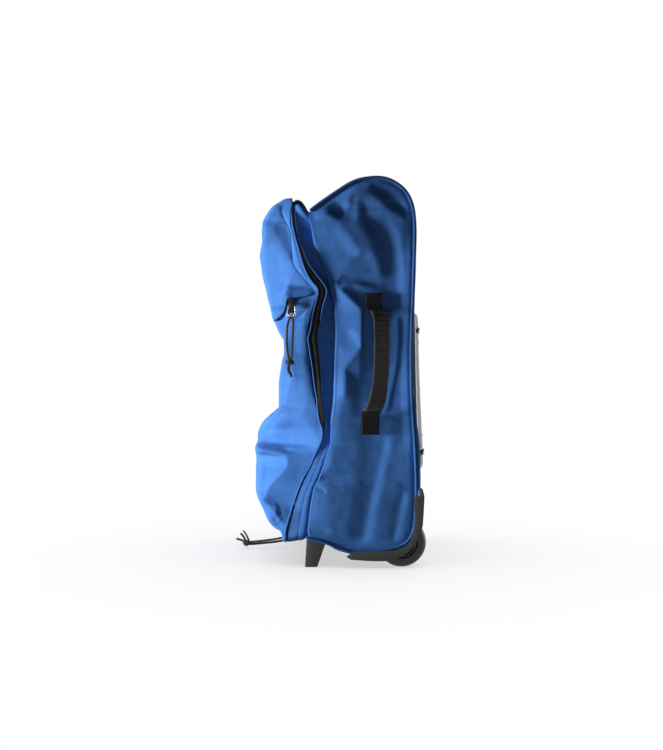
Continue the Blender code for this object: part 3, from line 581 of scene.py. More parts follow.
def knot_piece(name, at, along_dir, up_dir, size, body, old, tails=()):
    """An overhand knot: a fat cord wound one and a half times round, with a second turn across it."""
    a, u = unit(np.array(along_dir, float)), np.array(up_dir, float)
    u = unit(u - a * (u @ a))
    s = np.cross(a, u)
    at = np.array(at, float)
    L, Wd, Hh = size[0] / 2, size[1] / 2, size[2] / 2
    parts = []
    t = np.linspace(0, 2 * math.pi, 49)
    path = np.stack([at + a * (-L * 0.45 + 0.9 * L * k / 48) + s * ((Wd - 1.8) * math.cos(x * 1.6)) + u * ((Hh - 1.8) * math.sin(x * 1.6)) for k, x in enumerate(t)])
    tube("", path, 1.8, None, sides=12, join=parts)
    path = np.stack([at + a * (L - 1.9) * math.cos(x) * 0.9 + s * (Wd - 2.0) * math.sin(x) + u * (Hh - 2.4) * math.sin(2 * x + 0.6) * 0.8 for x in t])
    tube("", path, 1.75, None, sides=12, join=parts)
    path = np.stack([at - a * (L - 1.4) + s * 1.2, at - a * L * 0.3 - s * 1.4 + u * 1.2, at + a * L * 0.35 + s * 1.2 - u * 0.8, at + a * (L - 1.4) - s * 0.8])
    tube("", flow(path, 20), 1.9, None, sides=12, join=parts)
    for route, radius in tails:
        tube("", flow(route, 24), radius, None, sides=10, join=parts)
    o = joined(name, parts, M["cord"])
    ride(o, body, old, slot="cord")
    return o


SX = -30.0
main_knot = knot_piece("main_pull_knot", (SX, -144.6, 8.0), (0, -1, 0.1), (0, 0, 1), (13.0, 10.4, 10.6), "main_pull", "main_zip_knot",
                       tails=[([(SX - 0.6, -141.4, 11.6), (SX - 1.4, -143.2, 16.4), (SX - 2.0, -146.2, 22.0), (SX - 2.4, -150.0, 27.4)], np.linspace(1.5, 1.15, 24))])
cord_piece("main_pull_cord_a", [(SX + 0.3, -81.8, 17.0), (SX + 1.2, -84.8, 17.4), (SX + 1.6, -91, 16.2), (SX + 2.0, -104, 13.8), (SX + 2.2, -122, 11.6), (SX + 1.6, -134.5, 10.4),
                               (SX + 0.8, -141, 9.4), (SX, -146.5, 9.8), (SX - 0.6, -152.5, 12.4), (SX - 1.0, -160.4, 14.6)], "main_pull", "main_zip_cord")
cord_piece("main_pull_cord_b", [(SX - 0.4, -80.6, 14.6), (SX - 1.4, -83.6, 12.4), (SX - 1.8, -91, 11.2), (SX - 2.2, -104, 9.2), (SX - 2.2, -122, 7.4), (SX - 1.8, -134, 6.4),
                               (SX - 0.6, -141, 6.6), (SX + 0.8, -145.6, 8.8), (SX + 1.8, -146.8, 13.2), (SX + 2.2, -149.4, 18.4), (SX + 2.6, -153.6, 23.4)], "main_pull", "main_zip_cord")
PX = 170.0
pocket_knot = knot_piece("pocket_pull_knot", (PX + 0.2, -70.6, 288.6), (0, 0.1, -1), (1, 0, 0), (9.6, 13.0, 9.4), "pocket_pull", "pocket_zip_knot")
cord_piece("pocket_pull_cord_a", [(PX + 0.4, -69.4, 351.6), (PX - 0.6, -71.4, 348.0), (PX - 0.8, -73.6, 341), (PX - 0.6, -74.6, 329), (PX - 0.6, -74.6, 314), (PX - 0.6, -73.4, 301), (PX + 0.4, -71.6, 291),
                                 (PX + 1.0, -72.6, 283.6), (PX + 1.0, -73.0, 279), (PX + 1.0, -70.8, 273.4), (PX + 0.8, -67.2, 268.2)], "pocket_pull", "pocket_zip_cord")
cord_piece("pocket_pull_cord_b", [(PX + 0.8, -67.2, 351.4), (PX + 1.8, -66.0, 348.0), (PX + 2.0, -65.6, 340), (PX + 1.6, -66.4, 326), (PX + 1.2, -67.0, 311), (PX + 0.8, -67.8, 300), (PX - 0.6, -69.2, 290.4),
                                 (PX - 1.6, -71.4, 284), (PX - 1.8, -71.8, 278.6), (PX - 1.8, -70.2, 274), (PX - 1.6, -68.4, 271.4)], "pocket_pull", "pocket_zip_cord")


# ------------------------------------------------------------------ outlines of the soft body, (y, z) unless said
SIDE = ((-43, 503.6), (-28, 514.9), (-14, 524.8), (0, 534.0), (14, 542.4), (28, 547.8), (44, 550.2),
        (58, 550.0), (71, 546.8), (85.2, 538.8), (96.2, 527.0), (103.8, 509.6), (107.2, 487.4), (107.4, 455),
        (105.4, 390), (103.4, 335), (102.6, 300), (103.2, 250), (105.0, 215), (108.0, 170), (109.8, 125), (109.8, 104),
        (108.6, 78), (106.5, 55), (99, 38.2), (90, 30.5), (78, 26), (55, 22.8), (21, 19.6),
        (8.4, 21.7), (-5.6, 25.9), (-19.6, 32.9), (-47.2, 39.9))
F_LINE = ((34, -48.5), (41, -47.2), (64, -44), (90, -41), (114, -36), (121, -32), (136, -26), (158, -19), (177, -13.2), (204, -13), (240, -9.4), (288, -8),
          (334, -6.6), (374, -9.4), (390, -14), (408, -18.4), (435, -30.6), (457, -37), (481, -41), (503, -46), (520, -48))          # (z, y)
R_LINE = ((34, -75), (46, -73), (63, -70), (87, -64), (110, -56), (130, -47), (152, -37), (172, -27.5), (188, -22), (201, -20), (213, -22.5), (234, -27),
          (265, -27), (292, -29), (310, -30.5), (321, -31.8), (324, -32.2), (327, -31.8), (346, -28), (365, -25), (381, -20.4), (386, -19.2), (391, -19.6), (405, -28.4), (414, -35),
          (428, -45), (447, -53), (469, -60), (488, -63), (512, -64), (530, -64.4))                                                   # (z, y)
L_LINE = ((34, -76.8), (51, -75.8), (63, -72.6), (85, -66.2), (109, -57.8), (113, -56.2), (124, -51.6), (141, -41.8), (157, -35), (179, -25.2), (190, -23.6), (208, -28.6),
          (222, -30.6), (237, -31.8), (256, -35), (274, -37), (298, -40.6), (310, -42.4), (320, -43.8), (323, -44.2), (326, -43.4), (340, -39.6), (356, -37.2), (373, -33), (382, -30.6), (386, -30), (391, -30.6), (405, -41),
          (421, -49), (447, -57), (469, -63), (492, -67), (512, -67.4), (530, -67.6))                                                 # (z, y)

SIDE_FINE = flow(SIDE, 900)


def edge_at(by, n=700):
    return even(shifted(SIDE_FINE, by), n)


# ------------------------------------------------------------------ side panels
class Relief:
    """A height over (y, z), made by adding up slopes along y: a positive slope faces the front, a negative one the back."""

    def __init__(self, y0, y1, z0, z1, step=0.8):
        self.y = np.arange(y0, y1 + step, step)
        self.z = np.arange(z0, z1 + step, step)
        self.step = step
        self.Y, self.Z = np.meshgrid(self.y, self.z, indexing="ij")
        self.S = np.zeros_like(self.Y)

    def streak(self, line, left, right, tone, soft_left=3.0, soft_right=3.0, ends=0.2):
        """A strip of slope along a line; left and right are its half widths on either side of travel, soft their edges."""
        line = np.asarray(flow(line, 30) if len(line) > 2 else even(line, 12))
        lo, hi = line.min(0) - 26 - max(left, right), line.max(0) + 26 + max(left, right)
        a, b = np.searchsorted(self.y, (lo[0], hi[0]))
        c, d = np.searchsorted(self.z, (lo[1], hi[1]))
        Y, Z = self.Y[a:b, c:d], self.Z[a:b, c:d]
        signed, dist, share = line_distance(Y, Z, line)
        f = ease((left - signed) / soft_left * 0.5 + 0.5) * ease((right + signed) / soft_right * 0.5 + 0.5)
        total = np.linalg.norm(np.diff(line, axis=0), axis=1).sum()
        beyond = np.maximum(dist - np.abs(signed), 0)
        e = max(ends, 1e-3)
        f = f * ease(share / e) * ease((1 - share) / e)
        self.S[a:b, c:d] += tone * f

    def patch(self, points, tone, soft=4.0):
        """A closed region of slope with soft edges; soft is a number or one for each side of the outline."""
        p = np.asarray(points, float)
        lo, hi = p.min(0) - 24, p.max(0) + 24
        a, b = np.searchsorted(self.y, (lo[0], hi[0]))
        c, d = np.searchsorted(self.z, (lo[1], hi[1]))
        Y, Z = self.Y[a:b, c:d], self.Z[a:b, c:d]
        q = np.vstack([p, p[:1]])
        _, dist, _ = line_distance(Y, Z, q)
        inside = np.zeros(Y.shape, bool)
        for (ax, ay), (bx, by) in zip(q, q[1:]):
            cond = (ay > Z) != (by > Z)
            with np.errstate(divide="ignore", invalid="ignore"):
                x = (bx - ax) * (Z - ay) / (by - ay if by != ay else 1e-9) + ax
            inside ^= cond & (Y < x)
        signed = np.where(inside, dist, -dist)
        softness = np.broadcast_to(np.asarray(soft, float), (len(p),))
        if np.ptp(softness) > 0:                 # the softness of the nearest side
            near = np.full(Y.shape, 1e9)
            s = np.zeros(Y.shape)
            for k, (e0, e1) in enumerate(zip(q, q[1:])):
                _, dk, _ = line_distance(Y, Z, (e0, e1))
                w = 1.0 / (dk + 1.5) ** 2
                s += w * softness[k]
                near = np.where(near > 1e8, 0, near) + w
            softness = s / near
        else:
            softness = softness[0]
        self.S[a:b, c:d] += tone * ease(signed / softness * 0.5 + 0.5)

    def heights(self, start=None, gain=1.0, hold=60.0, lean=None, front=None):
        """Adds the slopes up from the low y end; hold is the width over which the mean slope is taken out."""
        S = self.S * gain
        if hold:
            k = np.exp(-0.5 * (np.arange(-3 * hold, 3 * hold + self.step, self.step) / hold) ** 2)
            k /= k.sum()
            pad = len(k) // 2
            mean = np.apply_along_axis(lambda r: np.convolve(np.pad(r, pad, mode="edge"), k, mode="valid")[:len(r)], 0, S)
            S = S - mean
        if lean is not None:
            S = S + lean(self.Y, self.Z)
        H = np.cumsum(S, axis=0) * self.step
        if start is not None:
            H = H - H[int(round((start - self.y[0]) / self.step))][None, :]
        if front is not None:                    # the front edge is brought to its own height, by leaning each row
            y_f, h_f = along(F_LINE, self.z) + 4.0, along(front, self.z)
            k = np.clip(((y_f - self.y[0]) / self.step).round().astype(int), 0, len(self.y) - 1)
            now = H[k, np.arange(len(self.z))]
            share = (start - self.Y) / (start - y_f)[None]
            H = H + (h_f - now)[None] * np.clip(share, -0.05, 1.12)
        self.H = H
        return self

    def at(self, Y, Z):
        a = np.clip((Y - self.y[0]) / self.step, 0, len(self.y) - 1.001)
        b = np.clip((Z - self.z[0]) / self.step, 0, len(self.z) - 1.001)
        i, j = a.astype(int), b.astype(int)
        u, v = a - i, b - j
        H = self.H
        return (H[i, j] * (1 - u) * (1 - v) + H[i + 1, j] * u * (1 - v) + H[i, j + 1] * (1 - u) * v + H[i + 1, j + 1] * u * v)


def near_folds():
    r = Relief(-60, 112, 10, 560)
    S, P = r.streak, r.patch
    # below the top seam: a hollow, and folds that fan out from under the carry handle on top
    P([(-18, 520), (-6, 512), (1.5, 506), (1.5, 489), (-8, 491), (-24, 506)], -0.62, [5, 4, 2.2, 5, 9, 6])
    P([(-40, 503), (-26, 513), (-6, 500), (-4, 489), (-24, 497)], -0.16, 6)
    S([(14.7, 533), (8, 510), (4, 492)], 4.5, 4.5, 0.24, 4, 4)
    S([(17.5, 529), (14, 497)], 3.5, 3.5, -0.20, 4, 4)
    S([(22, 530), (22, 505), (20, 482)], 4, 4, 0.18, 4, 4)
    S([(24, 521), (31, 500), (40, 480), (52, 460), (60, 440), (65, 420), (67, 398)], 6, 8, -0.46, 4, 10, 0.12)
    S([(34, 497), (47, 474), (56, 454), (62, 436), (65, 415)], 3, 5, -0.16, 3, 7, 0.2)
    S([(60, 494), (73, 478), (79, 460), (82, 440), (84, 415), (85, 390), (87, 356)], 6, 6, 0.40, 6, 4, 0.16)
    S([(77, 462), (82, 440), (84, 415), (84, 392), (84, 372)], 5, 5, 0.14, 5, 4, 0.2)
    S([(41, 537), (61, 520), (80, 503), (99, 493)], 6, 7, -0.44, 5, 6, 0.1)
    S([(47, 544), (68, 529), (86, 512), (96, 503)], 6, 5, 0.16, 5, 5)
    S([(35, 546), (38, 530)], 3, 3, 0.14, 3, 3)
    S([(92, 486), (96, 450), (95, 410), (94, 330), (92, 285)], 4, 4, -0.12, 4, 4)
    # the bright swell over the zip and the soft hollow under it
    P([(-44, 497), (-30, 500), (-12, 492), (2, 480), (17, 461), (28.5, 446), (28, 438), (17, 437), (10, 425), (3, 412), (-6, 403), (-16, 408), (-14, 440), (-28, 452), (-38, 474)],
      0.21, [4, 8, 8, 7, 6, 2.0, 2.5, 6, 9, 8, 6, 5, 10, 10, 5])
    P([(22, 414), (72, 414), (66, 386), (30, 384)], -0.12, 6)
    P([(68, 350), (80, 350), (80, 286), (68, 290)], -0.10, 3)
    P([(38, 300), (50, 300), (48, 236), (34, 236)], -0.08, 4)
    P([(-46, 510), (-22, 520), (-16, 506), (-30, 496), (-44, 498)], -0.16, 4)
    P([(-4, 530), (16, 540), (40, 546), (70, 544), (92, 520), (84, 500), (62, 492), (36, 500), (6, 510)], -0.20, 7)
    P([(-2, 478), (14, 462), (27, 446), (26, 439), (14, 438), (2, 452), (-6, 466)], 0.20, [8, 6, 2, 3, 7, 9, 9])
    P([(6, 486), (20, 466), (36, 440), (50, 420), (44, 410), (30, 420), (30, 445), (16, 466)], -0.10, 8)
    P([(30, 450), (46, 440), (56, 420), (60, 404), (48, 408), (34, 418)], 0.12, 8)
    S([(7, 411), (0, 404), (-4, 397)], 3, 3, -0.42, 3, 2.5, 0.25)
    S([(2, 394), (8, 388), (16, 380), (28, 366), (33, 357)], 9, 1.2, -0.40, 9, 2.5, 0.12)
    P([(5, 410), (28, 409), (46, 400), (58, 391), (68, 376), (66, 364), (60, 388), (44, 392), (24, 398), (10, 402)], -0.34, 6)
    P([(60, 402), (72, 392), (75, 372), (72, 352), (64, 352), (62, 386)], -0.34, 5)
    # bright panel beside the opening
    P([(-13, 402), (-7, 400), (2, 387), (14, 376.5), (28, 364.5), (31, 358), (31, 309), (27, 306), (8, 283), (5, 274), (2, 240), (-3, 214), (-6, 178), (-18, 172), (-16, 300), (-16, 372)],
      0.62, [4, 3, 3, 3, 3, 3, 3, 5, 6, 6, 10, 12, 12, 6, 3, 3])
    P([(9, 334), (20, 338), (29.5, 319), (30, 309), (24, 313)], 0.34, [3, 3, 2, 2, 4])
    P([(4, 336), (8, 334), (12, 318), (6, 306), (1, 318)], -0.14, 5)
    S([(30.5, 366), (31.5, 330), (31, 290), (29, 254)], 3.5, 3.0, -0.30, 5, 2.5, 0.1)
    P([(31, 356), (46, 356), (46, 268), (33, 262), (31, 300)], -0.10, 6)
    S([(10, 302), (20, 290), (29, 272)], 5, 5, 0.10, 6, 6)
    P([(-12, 312), (3, 312), (7, 284), (7, 240), (-12, 240)], 0.26, [3, 4, 3, 4, 3])
    P([(6, 282), (12, 276), (18, 270), (27, 262), (29, 240), (28, 214), (17, 214), (12, 240), (9, 262)], -0.34, [2, 3, 4, 6, 8, 9, 10, 7, 4])
    S([(30, 214), (33, 170), (32, 120), (27, 80), (19, 34)], 10, 10, -0.14, 9, 9, 0.1)
    S([(71, 212), (69, 190), (65, 162), (60, 140), (55, 120), (50, 100), (46, 80), (42, 60), (37, 32)], 6, 6, 0.34, 7, 6, 0.05)
    S([(78, 216), (72, 180), (66, 150), (60, 118)], 6, 6, -0.12, 7, 7, 0.15)
    S([(88, 126), (79, 90), (72, 56), (70.5, 27)], 4, 3, -0.12, 2.4, 5, 0.1)
    S([(94, 108), (88, 78), (82, 48), (78, 27)], 4, 4, 0.24, 5, 3, 0.1)
    S([(84, 357), (84.5, 320), (83, 292), (79, 270), (74, 247), (70, 226), (66, 214)], 2.4, 2.4, -0.46, 2.5, 2.5, 0.08)
    S([(76.5, 356), (77, 310), (74, 277), (69, 250), (65, 226)], 3.5, 3.5, 0.16, 4, 3, 0.1)
    # low, beside the opening
    P([(-22, 172), (-10, 168), (-12, 148), (-20, 134), (-28, 134)], 0.42, [4, 6, 5, 3, 3])
    P([(-36, 124), (-20, 124), (-14, 44), (-42, 44)], 0.18, [3, 8, 10, 8])
    S([(-29, 129), (-20, 122)], 3, 3, -0.24, 3, 3, 0.25)
    S([(-35, 119), (-26, 113), (-17, 104)], 2.4, 2.4, 0.34, 2.4, 2.4, 0.25)
    S([(-30, 112), (-22, 104)], 2.4, 2.4, -0.14, 3, 3, 0.25)
    S([(-35, 110), (-38, 80), (-42, 52)], 5, 4, 0.24, 5, 4, 0.1)
    P([(-30, 124), (6, 124), (10, 44), (-34, 44)], 0.06, 14)
    # where the panel meets the piping at the back it stands up
    back = [(104.5, 470), (104.0, 420), (102.8, 360), (101.8, 300), (102.4, 250), (104.2, 214), (107.0, 176), (108.6, 146)]
    S([(y - 6.2, z) for y, z in back], 3.2, 3.0, 0.40, 3, 2, 0.1)
    front = [(20, -2.5), (150, -3.0), (200, -5.0), (240, -6.0), (300, -6.0), (340, -5.0), (380, -4.6), (410, -6.0), (435, -6.0), (460, -1.6), (480, 1.6), (500, 4.0), (540, 6.0)]
    return r.heights(start=112 - 4, gain=0.85, hold=38, front=front)


def far_folds():
    r = Relief(-60, 112, 10, 560)
    S, P = r.streak, r.patch
    S([(20, 536), (34, 500), (44, 460), (46, 424)], 9, 8, -0.40, 6, 8, 0.15)
    S([(44, 540), (62, 512), (72, 476), (72, 430)], 8, 8, 0.30, 6, 7, 0.15)
    S([(60, 538), (84, 512), (96, 486)], 6, 6, -0.30, 5, 6, 0.15)
    P([(-40, 494), (-10, 488), (14, 464), (22, 440), (2, 414), (-16, 412), (-28, 452)], 0.34, 8)
    S([(-6, 404), (14, 388), (36, 380), (58, 386)], 5, 6, -0.24, 5, 6, 0.2)
    S([(-4, 372), (4, 330), (2, 280), (-4, 230)], 9, 9, 0.26, 7, 8, 0.1)
    S([(24, 350), (28, 300), (24, 250), (16, 206)], 7, 8, -0.26, 6, 8, 0.1)
    S([(66, 366), (60, 320), (64, 270), (72, 220)], 6, 7, 0.20, 6, 6, 0.15)
    S([(86, 340), (82, 290), (88, 240)], 4, 4, -0.26, 4, 4, 0.15)
    S([(60, 214), (52, 160), (40, 110), (34, 50)], 7, 7, 0.26, 7, 7, 0.1)
    S([(84, 160), (76, 110), (66, 60), (62, 30)], 5, 5, -0.22, 5, 5, 0.1)
    S([(20, 200), (10, 150), (2, 100)], 8, 8, -0.16, 8, 8, 0.15)
    S([(-30, 130), (-18, 112)], 4, 4, 0.26, 4, 4, 0.25)
    back = [(104.5, 470), (104.0, 420), (102.8, 360), (101.8, 300), (102.4, 250), (104.2, 214), (107.0, 176), (108.6, 146)]
    S([(y - 6.2, z) for y, z in back], 3.2, 3.0, 0.40, 3, 2, 0.1)
    front = [(20, -2.5), (150, -3.0), (200, -5.0), (300, -6.0), (380, -3.0), (440, -1.0), (540, 0.0)]
    return r.heights(start=112 - 4, gain=0.62, hold=46, front=front)


def front_drop(z, far):
    """How deep the panel's front edge lies, and its radius there."""
    swell = np.exp(-(((z - 428) / 26) ** 2))
    return 1.0 + 3.0 * swell + 1.5 * np.exp(-(((z - 330) / 70) ** 2)), 1.7 + 2.4 * ease((z - 190) / 30) * ease((395 - z) / 25) + 9.0 * swell


def side_panel(sign):
    inner = edge_at(4.2, 1400)
    top_a = np.argmin(np.abs(inner[:300, 0] + 40.5))
    tr = np.argmin(np.hypot(inner[:, 0] - 91, inner[:, 1] - 524))
    br = np.argmin(np.hypot(inner[:, 0] - 97, inner[:, 1] - 41))
    bl = 1000 + np.argmin(np.abs(inner[1000:, 0] + 42.5))
    nu, nv = 104, 350
    u, v = np.linspace(0, 1, nu), np.linspace(0, 1, nv)
    top = even(inner[top_a:tr + 1], nu)
    back = even(inner[tr:br + 1], nv)[::-1]
    bottom = even(inner[br:bl + 1], nu)[::-1]
    z = np.linspace(bottom[0, 1], top[0, 1], nv)
    drop, radius = front_drop(z, sign < 0)
    y = along(F_LINE, z) + radius
    k = ease((z - z[0]) / 12)
    y = (1 - k) * (bottom[0, 0]) + k * y
    k = ease((z[-1] - z) / 12)
    y = (1 - k) * (top[0, 0]) + k * y
    front = np.stack([y, z], 1)
    U, V = u[:, None, None], v[None, :, None]
    P2 = ((1 - U) * front[None] + U * back[None] + (1 - V) * bottom[:, None] + V * top[:, None]
          - (1 - U) * (1 - V) * bottom[0] - U * (1 - V) * bottom[-1] - (1 - U) * V * top[0] - U * V * top[-1])
    Y, Z = P2[..., 0], P2[..., 1]
    folds = near_folds() if sign > 0 else far_folds()
    H = folds.at(Y, Z)
    H += 0.35 * wobble(Y, Z, 60, 5 + sign) + 0.10 * wobble(Y, Z, 16, 9 + sign)
    seam = np.vstack([inner[top_a:br + 1], inner[br:bl + 1]])
    _, d, _ = line_distance(Y, Z, even(seam, 160))
    tuck = np.exp(-((d / 4.0) ** 2))
    # away from the front the whole panel is nearly at its rest place; the strap's room is kept free
    H = 8.5 * np.tanh(H / 8.5)
    fade = ease(d / 16)
    X = 167.4 + H * fade - 1.1 * tuck
    X -= 3.4 * np.exp(-(((Y + 32) / 21) ** 2) - ((Z - 428) / 24) ** 2)
    guard = ease((1.15 - np.maximum(np.abs(Y - 60) / 26, np.abs(Z - 289) / 96)) * 7)
    X = X - guard * np.maximum(X - 167.8, 0) * 0.8
    low = ease((45 - Z) / 12) * ease((Y - 5) / 20)          # flat behind the guard
    X = X * (1 - low) + low * np.minimum(X, 167.0)
    # the front edge turns round into the opening
    n = 14
    ang = np.linspace(0, math.radians(108), n)[1:]
    X0, Y0 = X[0], Y[0]
    X = X - 0.0
    rad = np.interp(Z[0], z, radius) * ease((Z[0] - z[0] + 8) / 10)
    rows = []
    shallow = 1 - 0.62 * ease((Z[0] - 440) / 24)
    for a in ang[::-1]:
        rows.append(np.stack([X0 - rad * (1 - math.cos(a)) * shallow, Y0 - rad * math.sin(a), Z[0]], 1))
    tuckin = np.stack([X0 - rad * 1.3 - 3.5, Y0 - rad * 0.9 + 2.0, Z[0]], 1)
    grid = np.concatenate([tuckin[None], np.array(rows), np.stack([X, Y, Z], 2)], 0)
    grid[..., 0] *= sign
    return grid


for sign, word in ((1, "right"), (-1, "left")):
    G = side_panel(sign)
    o = surface(f"side_cover_{word}", G, M["fabric"], flip=sign < 0, thick=1.4, lining=M["lining"])
    ride(o, "bag", f"side_panel_{word}", slot="shell_fabric")
    if sign > 0:
        SIDE_G = G
    else:
        SIDE_G_FAR = G
    # piping: a covered cord, a little uneven
    line = shifted(SIDE_FINE, 2.5)
    P2 = even(line, 520)
    s = np.linspace(0, 1, 520)
    wav = 0.25 * np.sin(s * 61) + 0.15 * np.sin(s * 143 + 1)
    P3 = np.stack([np.full(520, sign * 167.6) + wav * 0.6 * sign, P2[:, 0], P2[:, 1]], 1)
    P3[:, 0] -= sign * 0.8 * ease((P3[:, 2] - 390) / 40)
    P3[:, 0] -= sign * 1.6 * ease((116 - P3[:, 2]) / 10) * ease((P3[:, 1] - 20) / 20)
    o = tube(f"edge_piping_{word}", P3, 2.5 + 0.12 * np.sin(s * 97), M["piping"], sides=14)
    ride(o, "bag", f"piping_{word}", slot="shell_fabric")


# low on the back the cover swells past the piping
ROLL = [(90, 111.0), (104, 112.8), (119, 113.2), (166, 112.4), (200, 108.8), (236, 105.2), (256, 103.6)]
zr = np.linspace(92, 254, 110)
y_in = along(tuple((z, y) for y, z in SIDE[::-1] if y > 95), zr) - 0.9
y_out = np.maximum(along(ROLL, zr) + 0.25 * wobble(zr, zr * 0, 22, 61), y_in + 0.5)
w = (y_out - y_in)
k = ease((254 - zr) / 26)
PROFILE = [(168.2, 0.0), (168.8, 0.3), (169.5, 0.62), (169.5, 0.84), (168.2, 0.96), (165.6, 1.0), (160.0, 1.0), (150.0, 0.9), (138.0, 0.35)]
G = np.stack([np.stack([x - 3.2 * (1 - k) + 0 * w, y_in + w * q, zr], 1) for x, q in PROFILE], 1)
G = np.stack([flow(row, 26) for row in G], 0)
for sign, word in ((1, "right"), (-1, "left")):
    o = surface(f"back_roll_{word}", G * np.array((sign, 1, 1)), M["fabric"], flip=sign > 0, thick=1.2, lining=M["lining"])
    ride(o, "bag")


# ------------------------------------------------------------------ top, back and bottom between the pipings
def band_grid(line, nx, n, half=165.6, crown=None, folds=None, ends=None):
    """A sheet across the bag along a (y, z) line; crown(share, x) lifts it along its outward normal."""
    p = flow(line, n) if len(line) < 60 else even(line, n)
    d = unit(np.gradient(p, axis=0))
    out = np.stack([-d[:, 1], d[:, 0]], 1)
    x = np.linspace(-half, half, nx)
    s = np.linspace(0, 1, n)
    S, X = np.meshgrid(s, x, indexing="ij")
    h = crown(S, X)
    G = np.empty((n, nx, 3))
    G[..., 0] = X
    G[..., 1] = p[:, None, 0] + out[:, None, 0] * h
    G[..., 2] = p[:, None, 1] + out[:, None, 1] * h
    return G


CUP = ((-45.2, 501.6), (-28, 513.5), (-14, 523.6), (0, 531.6), (14, 537.6), (28, 541.1), (44, 542.6), (58, 541.6),
       (69, 538.4), (80.5, 531), (89, 521.5), (95, 507.5), (98.2, 487.9))
TOP = ((-45.2, 499.4), (-28, 509.8), (-14, 518.8), (0, 527.6), (14, 535.6), (28, 540.8), (44, 543.2), (58, 543.0),
       (69, 540.2), (82, 532.6), (91.6, 522.6), (98, 508.0), (101, 487.9))
BACK = ((101, 487.9), (102.4, 470), (103.0, 450), (102.2, 390), (101.8, 340), (102.2, 300), (103.5, 250), (106.5, 210),
        (110, 165), (113, 125), (113.6, 100), (112.4, 72), (107, 50), (98.5, 39.4))
BOTTOM = ((98.5, 39.4), (89, 33), (78, 29), (55, 25.8), (21, 22.6), (8.4, 24.7), (-5.6, 28.9), (-19.6, 35.9), (-46.6, 42.5))
BEZEL = (92.4, 61.5, 98.6)


def edge_roll(X, half=165.6):
    return -1.5 * np.exp(-(((half - np.abs(X)) / 3.2) ** 2))


def top_crown(S, X):
    return (edge_roll(X) + 2.4 * (1 - (X / 168) ** 2) * ease(S / 0.12) + 1.1 * wobble(X, S * 190, 95, 21) * ease((168 - np.abs(X)) / 30)
            + stroke(X, S * 190, [(-150, 60), (-60, 52), (20, 58), (120, 50)], -1.6, 9) + stroke(X, S * 190, [(-120, 96), (0, 104), (110, 92)], -1.0, 8))


G = band_grid(TOP, 190, 112, crown=top_crown)
# around the pull handle's cup the cover lies flat under its rim
cup = ease((BEZEL[0] + 14 - np.abs(G[..., 0])) / 12) * ease((G[..., 1] - (BEZEL[1] - 12)) / 10) * ease((G[..., 2] - 486) / 10)
base = band_grid(CUP, 190, 112, crown=lambda S, X: 0 * X - 0.2)
G = G * (1 - cup[..., None]) + base * cup[..., None]
TOP_G = G
keep = []
n, m = G.shape[:2]
for f in grid_faces(n, m):
    c = G.reshape(-1, 3)[list(f)].mean(0)
    if not (abs(c[0]) < BEZEL[0] and BEZEL[1] < c[1] < 101 and c[2] > 498):
        keep.append(f)
o = finish_mesh("top_cover", W(G.reshape(-1, 3)), keep, [M["fabric"], M["lining"]], lengths_uv(G), flip=True)
mod = o.modifiers.new("thickness", "SOLIDIFY")
mod.thickness, mod.offset, mod.material_offset, mod.material_offset_rim = 0.0014, -1, 1, 0
ride(o, "bag", "top_panel", slot="shell_fabric")


def back_crown(S, X):
    return edge_roll(X) + 1.2 * (1 - (X / 168) ** 2) * (1 - np.exp(-((S - 0.5) / 0.4) ** 2)) + 0.7 * wobble(X, S * 450, 110, 23) * ease((168 - np.abs(X)) / 30)


def outside_well(c):
    return not (abs(c[0]) > 132.6 and c[2] < 83.4)


G = band_grid(BACK, 150, 220, crown=back_crown)
plate = ease((100 - np.abs(G[..., 0])) / 6) * ease((G[..., 2] - 126) / 8) * ease((370 - G[..., 2]) / 8)
base = band_grid(BACK, 150, 220, crown=lambda S, X: 0 * X - 0.3)
G = G * (1 - plate[..., None]) + base * plate[..., None]
faces = [f for f in grid_faces(*G.shape[:2]) if outside_well(G.reshape(-1, 3)[list(f)].mean(0))]
o = finish_mesh("back_cover", W(G.reshape(-1, 3)), faces, [M["fabric"], M["lining"]], lengths_uv(G), flip=True)
mod = o.modifiers.new("thickness", "SOLIDIFY")
mod.thickness, mod.offset, mod.material_offset, mod.material_offset_rim = 0.0014, -1, 1, 0
ride(o, "bag", "back_panel", slot="shell_fabric")
BACK_G = G

G = band_grid(BOTTOM, 150, 100, crown=lambda S, X: edge_roll(X) + 0.6 * wobble(X, S * 150, 80, 29) * ease((168 - np.abs(X)) / 30))
faces = [f for f in grid_faces(*G.shape[:2]) if not (abs(G.reshape(-1, 3)[list(f)].mean(0)[0]) > 132.6 and G.reshape(-1, 3)[list(f)].mean(0)[1] > 43.4)]
o = finish_mesh("bottom_cover", W(G.reshape(-1, 3)), faces, [M["fabric"], M["lining"]], lengths_uv(G), flip=True)
mod = o.modifiers.new("thickness", "SOLIDIFY")
mod.thickness, mod.offset, mod.material_offset, mod.material_offset_rim = 0.0014, -1, 1, 0
ride(o, "bag", "bottom_panel", slot="shell_fabric")


# ------------------------------------------------------------------ the opening: loops (x, z) with y from a table
def z_low(x, low=42.0, droop=7.0):
    return low - droop * ease((np.abs(x) - 118) / 40)


HALF = [(34, 157.5), (150, 157.5), (200, 158.6), (300, 159.5), (345, 163), (380, 167.0), (400, 167.0), (430, 165), (470, 163.4), (530, 163.4)]


